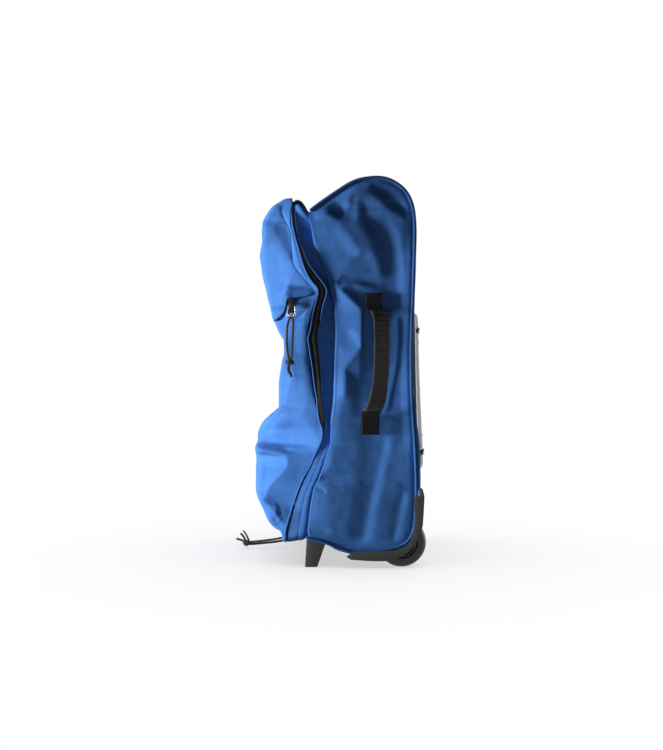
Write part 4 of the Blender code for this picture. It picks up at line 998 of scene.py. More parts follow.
def loop(table, half=168.0, low=42.0, high=516.0, r=9.0, droop=7.0, dip=3.0, counts=(84, 9, 236, 9, 84, 9, 236, 9), out=0.0, narrow=True):
    """A closed loop of (x, y, z) round the opening, from the far end of the bottom, over the near side. out moves it outwards."""
    b, c, s = counts[0], counts[1], counts[2]
    lo, xh, hi = low - droop - out, half + out, high + out
    r = max(r + out, 0.5)

    def arc(cx, cz, a0, a1, n):
        a = np.radians(np.linspace(a0, a1, n, endpoint=False))
        return np.stack([cx + r * np.cos(a), cz + r * np.sin(a)], 1)

    xs = np.linspace(-xh + r, xh - r, b, endpoint=False)
    bottom = np.stack([xs, z_low(xs, low, droop) - out], 1)
    z_side = np.linspace(lo + r, hi - r, s, endpoint=False)
    near = np.stack([np.full(s, xh), z_side], 1)
    xt = np.linspace(xh - r, -xh + r, b, endpoint=False)
    top = np.stack([xt, hi - dip * (1 - (xt / xh) ** 2)], 1)
    far = np.stack([np.full(s, -xh), z_side[::-1] + (z_side[1] - z_side[0])], 1)
    xz = np.vstack([bottom, arc(xh - r, lo + r, -90, 0, c), near, arc(xh - r, hi - r, 0, 90, c), top, arc(-xh + r, hi - r, 90, 180, c), far, arc(-xh + r, lo + r, 180, 270, c)])
    if narrow:
        xz[:, 0] *= along(HALF, xz[:, 1]) / 168.0
    return np.stack([xz[:, 0], along(table, xz[:, 1]), xz[:, 1]], 1)


def inward(P):
    """Unit vectors across the loop, in the x z plane, pointing into the bag."""
    d = np.roll(P, -1, 0) - np.roll(P, 1, 0)
    n = np.stack([-d[:, 2], np.zeros(len(P)), d[:, 0]], 1)
    return unit(n)


def zone(P, z0, z1, near=True):
    """1 on the near (or far) side between two heights, easing to 0."""
    side = (P[:, 0] > 150) if near else (P[:, 0] < -150)
    return side * ease((P[:, 2] - z0) / 14 + 0.5) * ease((z1 - P[:, 2]) / 14 + 0.5)


R_LOOP = loop(R_LINE)
L_LOOP = loop(L_LINE)
F_LOOP = loop([(z, y + 2.0) for z, y in F_LINE], half=165.0, high=504.0, low=43.0, droop=1.5, dip=0.5, r=12, narrow=False)
F_LOOP[:, 0] *= 1 - 0.030 * (1 - ease((F_LOOP[:, 2] - 150) / 40)) * (np.abs(F_LOOP[:, 0]) > 140)
IN = inward(R_LOOP)

# body side: the gusset, a soft valley between the zip and the side panel
nu = 22
u = np.linspace(0, 1, nu)
zz = R_LOOP[:, 2]
lowly = (1 - ease((zz - 126) / 40)) * 1.0
depth = 0.4 + 12.6 * ease((zz - 150) / 42) - 6.0 * ease((zz - 400) / 60) - 4.0 * ease((zz - 485) / 20)
on_side = ease((np.abs(R_LOOP[:, 0]) - 144) / 10)
depth = depth * on_side + 1.5 * (1 - on_side)
run = np.r_[0, np.cumsum(np.linalg.norm(np.diff(R_LOOP, axis=0), axis=1))]
pleat = 0.5 * wobble(run, run * 0, 15, 41) + 0.25 * wobble(run, run * 0, 6, 42)
soft = 0.9 * wobble(run, run * 0, 70, 43)
G = np.empty((len(R_LOOP), nu, 3))
for j, t in enumerate(u):
    base = R_LOOP * (1 - t) + F_LOOP * t
    g = t ** 0.85
    bulge = math.sin(math.pi * t)
    top_lump = ease((R_LOOP[:, 2] - 500) / 12) * (6.0 * math.sin(math.pi * min(t * 1.12, 1)) ** 0.8)
    seam = -0.5 * math.exp(-(((t - 0.5) / 0.05) ** 2)) * (1 - ease((zz - 175) / 20)) * on_side
    low_lump = lowly * on_side * (2.8 * min(t / 0.76, 1) * (1 - ease((t - 0.76) / 0.2)) + 0.3 * bulge)
    off = depth * g - (pleat * bulge * 1.2 + soft * bulge + low_lump + seam) * 1.0 - top_lump
    G[:, j] = base + IN * off[:, None]
o = finish_mesh("opening_gusset", W(G.reshape(-1, 3)), grid_faces(len(R_LOOP), nu, close_n=True), [M["fabric"], M["lining"]], lengths_uv(G), flip=False)
fix_normals(o)
mod = o.modifiers.new("thickness", "SOLIDIFY")
mod.thickness, mod.offset, mod.material_offset, mod.material_offset_rim = 0.0012, 0, 0, 0
ride(o, "bag", "zip_gusset", slot="shell_fabric")
GUSSET_G = G


def loop_tube(name, P, r, material, sides=10):
    return tube(name, P, r, material, sides=sides, closed=True, caps=False)


# folded edges of the fabric along the zip, the tapes under them and the coil between
def ribbon_on(P, inn, a, b, dip, lift=0.0):
    """The points of P moved by dip along inn, sunk below the fabric."""
    A = P + inn * dip
    return A


CENTRE = (R_LOOP + L_LOOP) / 2
near_lift = zone(R_LOOP, 204, 330)[:, None]
CENTRE = CENTRE - IN * (2.2 * near_lift) + np.array((0, 1.0, 0)) * near_lift
gap = np.abs(R_LOOP[:, 1] - L_LOOP[:, 1])
shut = np.exp(-((np.maximum(195 - R_LOOP[:, 2], 0) / 12) ** 2))          # 0 low down, where the lid's edge lies over the zip
open_ = np.where(on_side > 0.5, 1.0 - (R_LOOP[:, 2] < 188) * (R_LOOP[:, 2] > 112), 1.0)


def lip(name, P, r, side, body):
    o = loop_tube(name, P + IN * 0.6, r, M["fabric_edge"])
    ride(o, body)
    return o


lip_body = loop_tube("zip_lip_body", R_LOOP + np.array((0, 0.9, 0)) + IN * 0.5, 1.15 + 0.15 * wobble(run, run * 0, 30, 44), M["fabric_edge"])
ride(lip_body, "bag")

for name, P, sign, body, old in (("zip_tape_body", R_LOOP, -1, "bag", "main_zip_tape_body"), ("zip_tape_lid", L_LOOP, 1, "lid", "main_zip_tape_lid")):
    inner = P + IN * 1.6 + np.array((0, -sign * 2.0, 0))
    mid = CENTRE + IN * 1.9 + np.array((0, -sign * 0.55, 0))
    G = np.stack([inner, inner * 0.6 + mid * 0.4 + IN * 0.25, mid], 1)
    o = finish_mesh(name, W(G.reshape(-1, 3)), grid_faces(len(P), 3, close_n=True), M["tape"], lengths_uv(G))
    fix_normals(o)
    mod = o.modifiers.new("thickness", "SOLIDIFY")
    mod.thickness, mod.offset = 0.0009, 0
    ride(o, body, old, slot="zip_tape")

# coil: each side's loops of monofilament
length = run[-1] + np.linalg.norm(R_LOOP[0] - R_LOOP[-1])
closed = np.vstack([CENTRE, CENTRE[:1]])
inn_closed = np.vstack([IN, IN[:1]])
srun = np.r_[0, np.cumsum(np.linalg.norm(np.diff(closed, axis=0), axis=1))]
for name, sign, body in (("zip_coil_body", 1, "bag"), ("zip_coil_lid", -1, "lid")):
    parts = []
    pitch = 2.1
    k = int(srun[-1] / pitch)
    at = (np.arange(k) + (0.25 if sign > 0 else 0.75)) * pitch
    C = np.stack([np.interp(at, srun, closed[:, i]) for i in range(3)], 1)
    N = unit(np.stack([np.interp(at, srun, inn_closed[:, i]) for i in range(3)], 1))
    T = unit(np.gradient(C, axis=0))
    S3 = unit(np.cross(T, N))
    S3 = S3 * np.sign(S3[:, 1:2]) * sign
    for c, nn, t, s in zip(C, N, T, S3):
        w, l, h = 0.42, 2.5, 0.75
        base = c + nn * 1.25
        V = [base + s * (-0.25) - t * w, base + s * (-0.25) + t * w, base + s * l + t * w * 0.8, base + s * l - t * w * 0.8]
        U = [v - nn * h + (c + s * 1.0 - v) * 0.16 for v in V]
        parts.append((np.array(V + U), [(0, 1, 2, 3), (7, 6, 5, 4), (0, 4, 5, 1), (1, 5, 6, 2), (2, 6, 7, 3), (3, 7, 4, 0)], None))
    o = joined(name, parts, M["coil_painted_glint"])
    ride(o, body)


# ------------------------------------------------------------------ the lid: two padded shells, side to front to side
LOWER_ROWS = (((-77.6, 36.5), (-80.6, 36.5)), ((-77.6, 46), (-81.6, 45.5)), ((-76.8, 52), (-83.4, 51.8)), ((-75.2, 58), (-91, 55)), ((-72.8, 66), (-98.8, 63)),
              ((-70, 76), (-105.2, 75.5)), ((-66, 89), (-111, 90)), ((-62, 101), (-114.4, 99.6)), ((-58, 112), (-116, 107)), ((-52, 126), (-115.6, 127)),
              ((-40, 148), (-116, 148)), ((-33, 164), (-117.8, 164)), ((-26.6, 178), (-116.8, 177)), ((-24, 190), (-113, 189)), ((-27, 202), (-105.2, 201)),
              ((-30.4, 214), (-93.2, 213)), ((-33.4, 226), (-85.6, 225)), ((-38, 252), (-85.2, 256)), ((-41.4, 277), (-81.8, 281)), ((-43.6, 295), (-79, 294)),
              ((-44.6, 302), (-77, 301)), ((-47, 320), (-77.4, 319)), ((-46.6, 328), (-81.5, 327)), ((-44.4, 338), (-86, 335)), ((-42.4, 349), (-90, 345)),
              ((-39.8, 360), (-92.5, 358)), ((-35.4, 374.5), (-92, 374)), ((-31, 387), (-90, 388)), ((-34, 396), (-88, 400)))
UPPER_ROWS = (((-30.8, 386.5), (-95.0, 349)), ((-31, 389.6), (-97.2, 355)), ((-33, 393), (-98.8, 366)), ((-35.4, 397.2), (-101, 382)), ((-38, 401.2), (-102.6, 394)),
              ((-43, 408.6), (-106, 407)), ((-48.5, 420), (-108.3, 420)), ((-52.6, 433), (-110, 434)), ((-56, 444), (-111, 444)), ((-59, 455), (-109.8, 455)),
              ((-61.5, 463.6), (-108.4, 463)), ((-64.4, 475), (-108.8, 475)), ((-66, 484), (-108.2, 487)), ((-66.8, 492), (-102.8, 497)), ((-67.1, 499), (-93.8, 507.6)),
              ((-67.3, 504), (-85, 515.2)), ((-67.3, 507.4), (-76, 519.2)), ((-67.4, 508.4), (-67.2, 519.6)))
HEM = ((-30.8, 386.5), (-40, 384), (-50, 381.4), (-63, 379.2), (-71.5, 377.6), (-74.8, 375.6), (-75.6, 371), (-76.4, 366), (-78.6, 361), (-82, 356.2), (-86, 352.4), (-90.4, 349.6), (-95.0, 348.8))


def lower_folds():
    r = Relief(-130, 0, 20, 420)
    S, P = r.streak, r.patch
    r.S += along([(30, 0.24), (150, 0.26), (172, 0.40), (228, 0.36), (258, 0.20), (300, 0.13), (340, 0.14), (356, 0.26), (390, 0.26)], r.z)[None]
    # the middle of the lid, above the pocket
    P([(-74, 350), (-48, 350), (-49, 322), (-44, 270), (-37, 222), (-34, 214), (-60, 216), (-78, 232), (-72, 256), (-68, 270), (-70, 300)], 0.10, [8, 4, 4, 5, 6, 8, 8, 3, 3, 3, 6])
    S([(-57, 348), (-59, 320), (-56, 290), (-54, 262), (-52, 236)], 4.5, 4.5, 0.14, 5, 5, 0.1)
    S([(-43.5, 352), (-47.5, 326), (-45, 296), (-41, 262), (-36, 232)], 3.4, 3.4, -0.20, 3, 4, 0.1)
    P([(-68, 270), (-52, 262), (-46, 228), (-60, 218), (-78, 226), (-76, 242), (-71.5, 255)], 0.22, [5, 8, 10, 8, 3, 2, 2])
    P([(-60, 300), (-44, 300), (-32, 250), (-22, 206), (-34, 198), (-50, 224), (-66, 262)], -0.18, 6)
    P([(-96, 345), (-70, 345), (-74, 320), (-80, 320)], 0.60, 5)
    P([(-100, 376), (-74, 376), (-69, 345), (-96, 345)], 0.50, 4)
    P([(-67, 270), (-71, 255), (-75, 242.5), (-77.2, 230), (-84, 224), (-92, 226), (-92, 300), (-78, 300)], 0.75, [2, 2, 2, 2, 3, 8, 8, 6])
    # shoulder of the lower pocket
    P([(-60, 216), (-50, 207), (-41, 197), (-29, 179), (-33, 171), (-64, 168), (-104, 171), (-120, 176), (-112, 205), (-86, 222)], 0.34, [3, 2.5, 2.5, 2.5, 4, 4, 5, 8, 8, 5])
    P([(-112, 206), (-92, 220), (-78, 222), (-84, 200), (-100, 184), (-120, 180)], 0.42, 8)
    P([(-88, 208), (-70, 207), (-66, 200), (-76, 194), (-92, 196)], -0.22, 6)
    S([(-70, 183), (-68, 176), (-68, 167)], 2.2, 2.2, 0.24, 1.2, 4, 0.2)
    # face and side of the lower pocket, with a sharp fold between them
    P([(-77, 156), (-75, 150), (-74, 145), (-76, 139), (-84, 130), (-98, 115.5), (-103, 107), (-107, 96), (-124, 96), (-124, 158), (-100, 160)], 0.80, [3, 1.8, 1.4, 1.4, 1.6, 1.8, 2, 3, 8, 6, 4])
    P([(-74, 158), (-40, 162), (-36, 154), (-52, 124), (-62, 104), (-72, 84), (-100, 100), (-100, 113), (-84, 128), (-73, 142)], -0.05, 4)
    P([(-104, 102), (-92, 96), (-88, 87), (-97, 84), (-106, 92)], -0.24, 5)
    P([(-90, 90), (-85, 86), (-80, 66), (-84, 62), (-90, 76)], -0.46, 3.5)
    P([(-80, 86), (-72, 84), (-66, 76), (-76, 70)], -0.24, 4)
    P([(-109, 93), (-100, 86), (-90, 74), (-80, 61), (-82, 57), (-92, 68), (-106, 84)], 0.55, 2.6)
    P([(-108, 84), (-96, 68), (-84, 57), (-92, 52), (-112, 66)], 0.05, 4)
    P([(-94, 64), (-78, 58), (-76, 40), (-90, 40)], 0.10, 4)
    return r.heights(hold=None)


def upper_folds():
    r = Relief(-130, 0, 320, 540)
    S, P = r.streak, r.patch
    r.S += 0.42
    P([(-81, 519), (-66, 519), (-66, 492), (-62, 469), (-56, 447), (-48, 421), (-40, 405), (-31, 389), (-38, 392.5), (-62.5, 423), (-65.4, 431), (-68.6, 450), (-71.6, 467), (-74.6, 481), (-81.6, 498)],
      0.24, [5, 3, 3, 3, 3, 3, 3, 3, 1.2, 1.2, 1.2, 1.2, 1.2, 1.2, 1.2])
    P([(-85, 509), (-81, 508), (-81, 494), (-85, 496)], -0.40, 3)
    P([(-104, 522), (-64, 524), (-64, 490), (-84, 490), (-104, 498)], -0.26, [6, 6, 5, 5, 6])
    P([(-96, 482), (-84, 486), (-76, 482), (-72.4, 470), (-70, 456), (-66.6, 434), (-70, 432), (-80, 452), (-92, 466)], -0.30, [7, 7, 5, 1.5, 1.5, 2, 5, 8, 7])
    P([(-92, 480), (-84, 478), (-82, 468), (-90, 466)], -0.06, 5)
    P([(-71, 396), (-46, 398), (-36, 386), (-42, 378), (-72, 372)], -0.26, [4, 3, 2, 2, 4])
    P([(-112, 455), (-94, 458), (-80, 440), (-70, 426), (-72, 404), (-78, 384), (-84, 366), (-110, 366)], 0.30, [8, 8, 6, 4, 3, 3, 4, 8])
    S([(-87, 446), (-84, 424), (-81, 408)], 3, 3, 0.14, 3, 3, 0.25)
    S([(-63, 426), (-69, 413), (-74, 402), (-77, 388)], 2.4, 2.4, 0.20, 2, 3, 0.2)
    P([(-63, 422), (-41, 396), (-33, 387.5), (-62, 380), (-74, 378), (-75, 392), (-71, 404)], -0.06, 2.5)
    P([(-99, 398), (-80, 388), (-76, 374), (-84, 360), (-93, 346), (-102, 350)], 0.22, 6)
    P([(-112, 492), (-96, 498), (-84, 512), (-84, 525), (-120, 520)], 0.10, 6)
    S([(-106, 470), (-100, 430), (-97, 400)], 4, 4, 0.2, 6, 6, 0.2)
    return r.heights(hold=None)


def shell(rows, folds, rc, n_rows, hem=None, xl=None, push=0.0, n_wall=46, n_front=84, front=None, lift=0.0, seed=3, near_extra=None):
    """A lid shell as a grid: rows go from the low edge up, columns from the near zip edge round the front to the far zip edge."""
    a = np.array(rows, float)                       # (k, 2, 2)
    mid = a.mean(1)
    s = np.r_[0, np.cumsum(np.linalg.norm(np.diff(a[:, 1], axis=0), axis=1) * 0.5 + np.linalg.norm(np.diff(a[:, 0], axis=0), axis=1) * 0.5 + 0.01)]
    v = np.linspace(0, s[-1], n_rows)
    L = np.stack([along(list(zip(s, a[:, 0, k])), v) for k in (0, 1)], 1)
    P = np.stack([along(list(zip(s, a[:, 1, k])), v) for k in (0, 1)], 1)
    dP = unit(np.gradient(P, axis=0))
    outn = np.stack([-dP[:, 1], dP[:, 0]], 1)            # profile runs up, outward is to its left
    P = P + outn * (push * ease((P[:, 1] - 40) / 14) * ease((516 - P[:, 1]) / 10))[:, None]
    span = np.linalg.norm(P - L, axis=1)
    D = (P - L) / span[:, None]
    R = np.minimum(np.broadcast_to(rc, n_rows) if np.ndim(rc) else np.full(n_rows, rc), span * 0.55)
    u = np.linspace(0, 1, n_wall)
    wall = L[:, None] + D[:, None] * ((span - R)[:, None, None] * u[None, :, None])
    if hem is not None:
        h = even(flow(hem, 300), 300)
        hp = even(h, n_wall, at=u * (1 - R[0] / np.linalg.norm(np.diff(h, axis=0), axis=1).sum()))
        dev = hp - (L[0] + (P[0] - L[0]) * (u[:, None] * (1 - R[0] / span[0])))
        fade = np.exp(-((v / 26.0) ** 2))
        wall = wall + dev[None] * fade[:, None, None]
    Yw, Zw = wall[..., 0], wall[..., 1]
    start = folds.at(L[:, 0], L[:, 1])

    def side(far):
        H = folds.at(Yw, Zw) - start[:, None]
        if far:
            k = ease(u / 0.25)[None]
            H = H * (0.75 + 0.25 * wobble(Yw, Zw, 120, seed + 50)) + k * 1.6 * wobble(Yw, Zw, 46, seed + 60)
        H = H + 0.25 * wobble(Yw, Zw, 34, seed) * ease(u / 0.2)[None]
        X = along(HALF, L[:, 1])[:, None] + 0.4 + H + lift * ease(u / 0.15)[None]
        return X

    Xn, Xf = side(False), side(True)
    n_arc = 10
    out = []
    for X, far in ((Xn, 1), (Xf, -1)):
        lean = np.clip((X[:, -5] - X[:, -1]) / (4 * (span - R) / (n_wall - 1)), 0.0, 0.7)
        lean = np.convolve(np.pad(lean, 3, mode="edge"), np.ones(7) / 7, "valid")
        a0 = np.arctan(lean)[:, None]
        ang = a0 + (math.pi / 2 - a0) * np.linspace(0, 1, n_arc + 1)[None, 1:]
        R1 = R[:, None] / (1 - np.sin(a0))
        arc_p = wall[:, -1][:, None] + D[:, None] * (R1 * (np.sin(ang) - np.sin(a0)))[..., None]
        arc_x = X[:, -1][:, None] - R1 * (np.cos(a0) - np.cos(ang))
        g = np.concatenate([np.concatenate([X[..., None], wall], 2), np.concatenate([arc_x[..., None], arc_p], 2)], 1)
        out.append(g)
    near, far = out
    far = far.copy()
    far[..., 0] *= -1
    x1, x2 = near[:, -1, 0], far[:, -1, 0]
    w = np.linspace(0, 1, n_front + 2)[1:-1]
    fx = x1[:, None] * (1 - w) + x2[:, None] * w
    pn = near[:, -1, 1:]
    lift_front = front(fx, v[:, None] / s[-1], P) if front else 0 * fx
    fyz = pn[:, None] + outn[:, None] * lift_front[..., None]
    mid_g = np.concatenate([fx[..., None], fyz], 2)
    return np.concatenate([near, mid_g, far[:, ::-1]], 1), v / s[-1]


def lower_front(x, t, P):
    z = P[:, 1][:, None] + 0 * x
    swell = 5.0 * (1 - (x / 150) ** 2).clip(0) * ease((z - 60) / 40) * ease((240 - z) / 60)
    sag = -3.0 * (1 - (x / 150) ** 2).clip(0) * ease((z - 225) / 30) * ease((345 - z) / 30)
    h = swell + sag + 1.6 * wobble(x, z, 110, 71) * ease((150 - np.abs(x)) / 30 + 0.3)
    h += stroke(x, z, [(-120, 186), (-60, 176), (0, 180), (60, 172), (120, 184)], -2.6, 9)
    h += stroke(x, z, [(-90, 66), (-60, 96), (-20, 110)], -2.0, 8) + stroke(x, z, [(100, 70), (60, 104), (40, 140)], -2.2, 9)
    h += stroke(x, z, [(-140, 214), (-80, 206), (0, 212), (90, 204), (140, 214)], 2.0, 8)
    h += stroke(x, z, [(-110, 330), (-40, 300), (40, 310), (110, 290)], -1.4, 10)
    return h


def upper_front(x, t, P):
    z = P[:, 1][:, None] + 0 * x
    h = 5.0 * (1 - (x / 150) ** 2).clip(0) * ease((z - 350) / 40) * ease((505 - z) / 40)
    h += -2.5 * np.exp(-((x / 110) ** 2)) * ease((z - 480) / 30)
    h += 1.6 * wobble(x, z, 100, 81) * ease((150 - np.abs(x)) / 30 + 0.3)
    h += stroke(x, z, [(-130, 480), (-70, 468), (0, 476), (80, 466), (130, 478)], -2.2, 9)
    h += stroke(x, z, [(-100, 372), (-60, 400), (-30, 440)], -1.6, 8) + stroke(x, z, [(110, 380), (70, 410), (40, 446)], -1.8, 8)
    return h


UPPER = upper_folds()
upper_G, upper_t = shell(UPPER_ROWS, UPPER, along([(0, 5), (0.2, 7), (0.6, 9), (0.8, 8), (1, 5)], np.linspace(0, 1, 130)), 130, hem=HEM, front=upper_front, push=2.0, lift=2.6, seed=5)
Y, Z = upper_G[..., 1], upper_G[..., 2]
near = ease((np.abs(upper_G[..., 0]) - 60) / 60) * np.sign(upper_G[..., 0])
h = stroke(Y, Z, [(-81.8, 500), (-76, 487), (-70, 476), (-67.8, 462), (-66.8, 443), (-63, 424), (-39.5, 393.5)], -1.1, 0.9, 1.5, ends=0.04)
h += stroke(Y, Z, [(-78, 379), (-64, 382), (-46, 385), (-36, 387)], 0.6, 2.2, ends=0.1)
upper_G[..., 0] += h * near + np.sign(upper_G[..., 0]) * 4.2 * ease((404 - Z) / 36) * ease((-64 - Y) / 16) * ease((np.abs(upper_G[..., 0]) - 110) / 30)
o = surface("lid_upper_shell", upper_G, M["fabric"], thick=1.6, lining=M["lining"])
ride(o, "lid", "upper_pocket", slot="shell_fabric")

lip_lid = loop_tube("zip_lip_lid", L_LOOP + np.array((0, -0.7, 0)) - IN * 0.3, 1.2 + 0.15 * wobble(run, run * 0, 33, 45), M["fabric_edge"])
ride(lip_lid, "lid")


# ------------------------------------------------------------------ far side: the fabric hinge between bag and lid
z = np.linspace(60, 494, 176)
yr, yl = along(R_LINE, z) + 6.0, along(L_LINE, z) - 5.0
G = np.empty((176, 22, 3))
for j, t in enumerate(np.linspace(0, 1, 22)):
    y = yl * (1 - t) + yr * t
    x = along(HALF, z) + 2.5 + 1.2 * math.sin(math.pi * t) + 0.25 * wobble(z, y, 18, 51)
    x = x - 1.6 * (math.exp(-((t / 0.07) ** 2)) + math.exp(-(((1 - t) / 0.07) ** 2)))
    G[:, j] = np.stack([-x, y, z], 1)
o = surface("hinge_cover", G, M["fabric"], thick=1.0, offset=1.0)
fix_normals(o)
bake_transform(o)
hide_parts("hinge_strip")


LOWER = lower_folds()
rc = along([(36, 3), (50, 3), (56, 6), (75, 9), (100, 10), (170, 11), (220, 8), (260, 7), (400, 7)], np.linspace(36, 400, 230))
lower_G, lower_t = shell(LOWER_ROWS, LOWER, rc, 230, front=lower_front, push=2.4, seed=3)
# creases that run across the pocket's side
for G_ in (lower_G,):
    Y, Z = G_[..., 1], G_[..., 2]
    near = ease((np.abs(G_[..., 0]) - 60) / 60) * np.sign(G_[..., 0])
    h = stroke(Y, Z, [(-95, 167.6), (-84, 166), (-69, 163), (-62, 163), (-48, 167), (-31, 170)], -2.6, 4.6, 3.4, ends=0.22)
    h += stroke(Y, Z, [(-86, 166.5), (-69, 163), (-50, 166)], -1.2, 1.8, ends=0.3)
    h += stroke(Y, Z, [(-40, 373), (-50, 359), (-60, 351), (-66, 347)], -1.3, 1.6, 3.0, ends=0.25)
    h += stroke(Y, Z, [(-96, 60), (-88, 70), (-82, 80)], -0.8, 3)
    h += stroke(Y, Z, [(-36, 238), (-38.8, 256), (-41.2, 274), (-44.4, 298), (-47, 320), (-47.4, 323), (-46.6, 326), (-43.2, 341), (-41.6, 349)], -0.7, 0.9, 0.9, ends=0.08)
    G_[..., 0] += h * near
HEM_Z = [(-115, 348.4), (-95, 348.8), (-90.4, 349.6), (-86, 352.4), (-82, 356.2), (-78.6, 361), (-76.4, 366), (-75.2, 372), (-73, 377), (-63, 379.2), (-50, 381.4), (-40, 384), (-30, 386.6)]
behind = ease((lower_G[..., 2] - along(HEM_Z, lower_G[..., 1]) + 2.6) / 4.6) * ease((-34 - lower_G[..., 1]) / 8)
side_w = ease((np.abs(lower_G[..., 0]) - 120) / 14)
flap = upper_G[:50]
for sgn in (1, -1):
    cols = flap[:, :56] if sgn > 0 else flap[:, -56:]
    pts = cols.reshape(-1, 3)
    idx = np.argwhere((behind * side_w > 0.01) & (np.sign(lower_G[..., 0]) == sgn) & (lower_G[..., 2] < 402))
    for r_, c_ in idx:
        q = lower_G[r_, c_]
        d2 = (pts[:, 1] - q[1]) ** 2 + (pts[:, 2] - q[2]) ** 2
        k = np.argmin(d2)
        if d2[k] < 30:
            limit = abs(pts[k, 0]) - 3.4
            lower_G[r_, c_, 0] = sgn * (abs(q[0]) - max(abs(q[0]) - limit, 1.6) * behind[r_, c_])
        else:
            lower_G[r_, c_, 0] -= sgn * 3.2 * behind[r_, c_]
lower_G[..., 1] += 3.0 * behind * (1 - side_w)
droop = z_low(lower_G[..., 0]) - 35.0
low = ease((60 - lower_G[..., 2]) / 22)
lower_G[..., 2] += droop * low
o = surface("lid_lower_shell", lower_G, M["fabric"], thick=1.3, lining=M["lining"])
ride(o, "lid", "lower_pocket", "lid_panel", "lid_gusset", slot="shell_fabric")

# inside the lid: a loose lining sewn round its edge
nx, nz = 110, 160
x, zz2 = np.meshgrid(np.linspace(-1, 1, nx), np.linspace(56, 492, nz), indexing="ij")
wall = along([(56, 118), (80, 124), (120, 126), (170, 118), (215, 112), (230, 128), (270, 134), (345, 134), (400, 136), (492, 128)], zz2)
x = x * wall
edge = ease(np.minimum(wall - np.abs(x), np.minimum(zz2 - 56, 492 - zz2)) / 22)
y = -74.0 + edge * (2.6 + 0.9 * wobble(x, zz2, 70, 55) + 0.4 * wobble(x, zz2, 22, 56))
G = np.stack([x, y, zz2], 2)
o = surface("lid_lining", G, M["lining"], thick=0.6)
ride(o, "lid")


# ------------------------------------------------------------------ pocket zip under the flap
way = []
for c in range(lower_G.shape[1]):
    col = lower_G[150:, c]
    y_c = np.interp(372, col[:, 2], col[:, 1])
    if y_c > -62.5:
        continue
    z_c = along(HEM_Z, y_c) + 5.0
    way.append([np.interp(z_c, col[:, 2], col[:, k]) for k in range(3)])
way = even(np.array(way), 200)
d = unit(np.gradient(way, axis=0))
zd = np.array((0, 0, 1.0))
off = unit(np.cross(d, zd))
off = off * np.sign((off * (way - np.array((0, 0, 372)))).sum(1))[:, None]
way = way + off * 0.1
G = np.stack([way + zd * k for k in (-2, -1, 0, 1, 2)], 1)
o = finish_mesh("pocket_tape", W(G.reshape(-1, 3)), grid_faces(200, 5), M["tape"], lengths_uv(G))
fix_normals(o)
mod = o.modifiers.new("thickness", "SOLIDIFY")
mod.thickness, mod.offset = 0.001, 0
ride(o, "lid", "pocket_zip_tape", slot="zip_tape")


# ------------------------------------------------------------------ webbing
def webbing(name, centre, across, width, thick, material, rib=0.16, pitch=2.1):
    """A closed webbing strap: a ribbed band with rounded edges along centre points, across being its width direction at each."""
    C, A = np.asarray(centre, float), unit(np.asarray(across, float))
    T = unit(np.gradient(C, axis=0))
    N = unit(np.cross(T, A))
    n = len(C)
    prof = []
    for k in np.linspace(-1, 1, 13):
        prof.append((k * (width / 2 - thick * 0.35), thick / 2 - (0.25 if abs(k) > 0.93 else 0.0)))
    prof += [(width / 2, 0.0)]
    for k in np.linspace(1, -1, 13):
        prof.append((k * (width / 2 - thick * 0.35), -thick / 2 + (0.25 if abs(k) > 0.93 else 0.0)))
    prof += [(-width / 2, 0.0)]
    s = np.r_[0, np.cumsum(np.linalg.norm(np.diff(C, axis=0), axis=1))]
    rib = rib * np.abs(np.sin(s * math.pi / pitch))
    V, U = [], []
    for i in range(n):
        for a, b in prof:
            bb = b + (np.sign(b) * rib[i] if abs(a) < width / 2 - 1.6 else 0)
            V.append(C[i] + A[i] * a + N[i] * bb)
            U.append((a * 0.001, s[i] * 0.001))
    m = len(prof)
    F = grid_faces(n, m, close_m=True)
    F.append(tuple(range(m))[::-1])
    F.append(tuple((n - 1) * m + k for k in range(m)))
    o = finish_mesh(name, W(np.array(V)), F, material, np.array(U))
    fix_normals(o)
    return o


STRAP_Y = [(218.5, 44.4), (222, 46.4), (231, 50.2), (240, 52.6), (251, 54.6), (267, 56.6), (281, 57.4), (311, 58.0), (340, 57.6), (352, 56.8), (361, 54.6)]
STRAP_X = [(218.5, 174.2), (222, 176.8), (231, 181.0), (251, 186.4), (281, 189.0), (311, 188.4), (336, 185.2), (350, 181.6), (356, 179.6), (359.4, 177.6), (361, 174.6)]


def strap_centre(t):
    z = 218.5 + 142.5 * t
    return np.stack([along(STRAP_X, z), along(STRAP_Y, z), z], 1)


for part, (t0, t1) in (("low", (0.0, 0.5)), ("high", (0.5, 1.0))):
    C = even(strap_centre(np.linspace(t0, t1, 400)), 220)
    t = (C[:, 2] - 218.5) / 142.5
    tilt = np.radians(31) * np.clip(np.minimum(t / 0.30, (1 - t) / 0.10), 0, 1) ** 0.8
    A = np.stack([-np.sin(tilt) * 1.0, np.cos(tilt), 0 * t], 1)
    wave = 0.35 * np.sin(C[:, 2] * 0.9) * ease((C[:, 2] - 300) / 40) + 0.2 * wobble(C[:, 2], C[:, 2] * 0, 16, 91)
    C = C + np.stack([wave, wave * 0.4, 0 * wave], 1)
    o = webbing(f"side_strap_{part}", C, A, 25.0, 2.2, M["strap"], rib=0.34, pitch=3.6)
    end = t0 if part == "low" else t1
    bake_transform(o)
    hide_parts("side_handle_strap")
    T = unit(np.gradient(C, axis=0))
    N = unit(np.cross(A, T))
    for e, sgn in (("front", -1), ("back", 1)):
        parts = stitches(C + A * sgn * 10.2 + N * 1.25, N, pitch=2.6, length=1.7, width=0.5)
        s_o = joined(f"side_strap_thread_{part}_{e}", parts, M["thread_dark"])
        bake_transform(s_o)


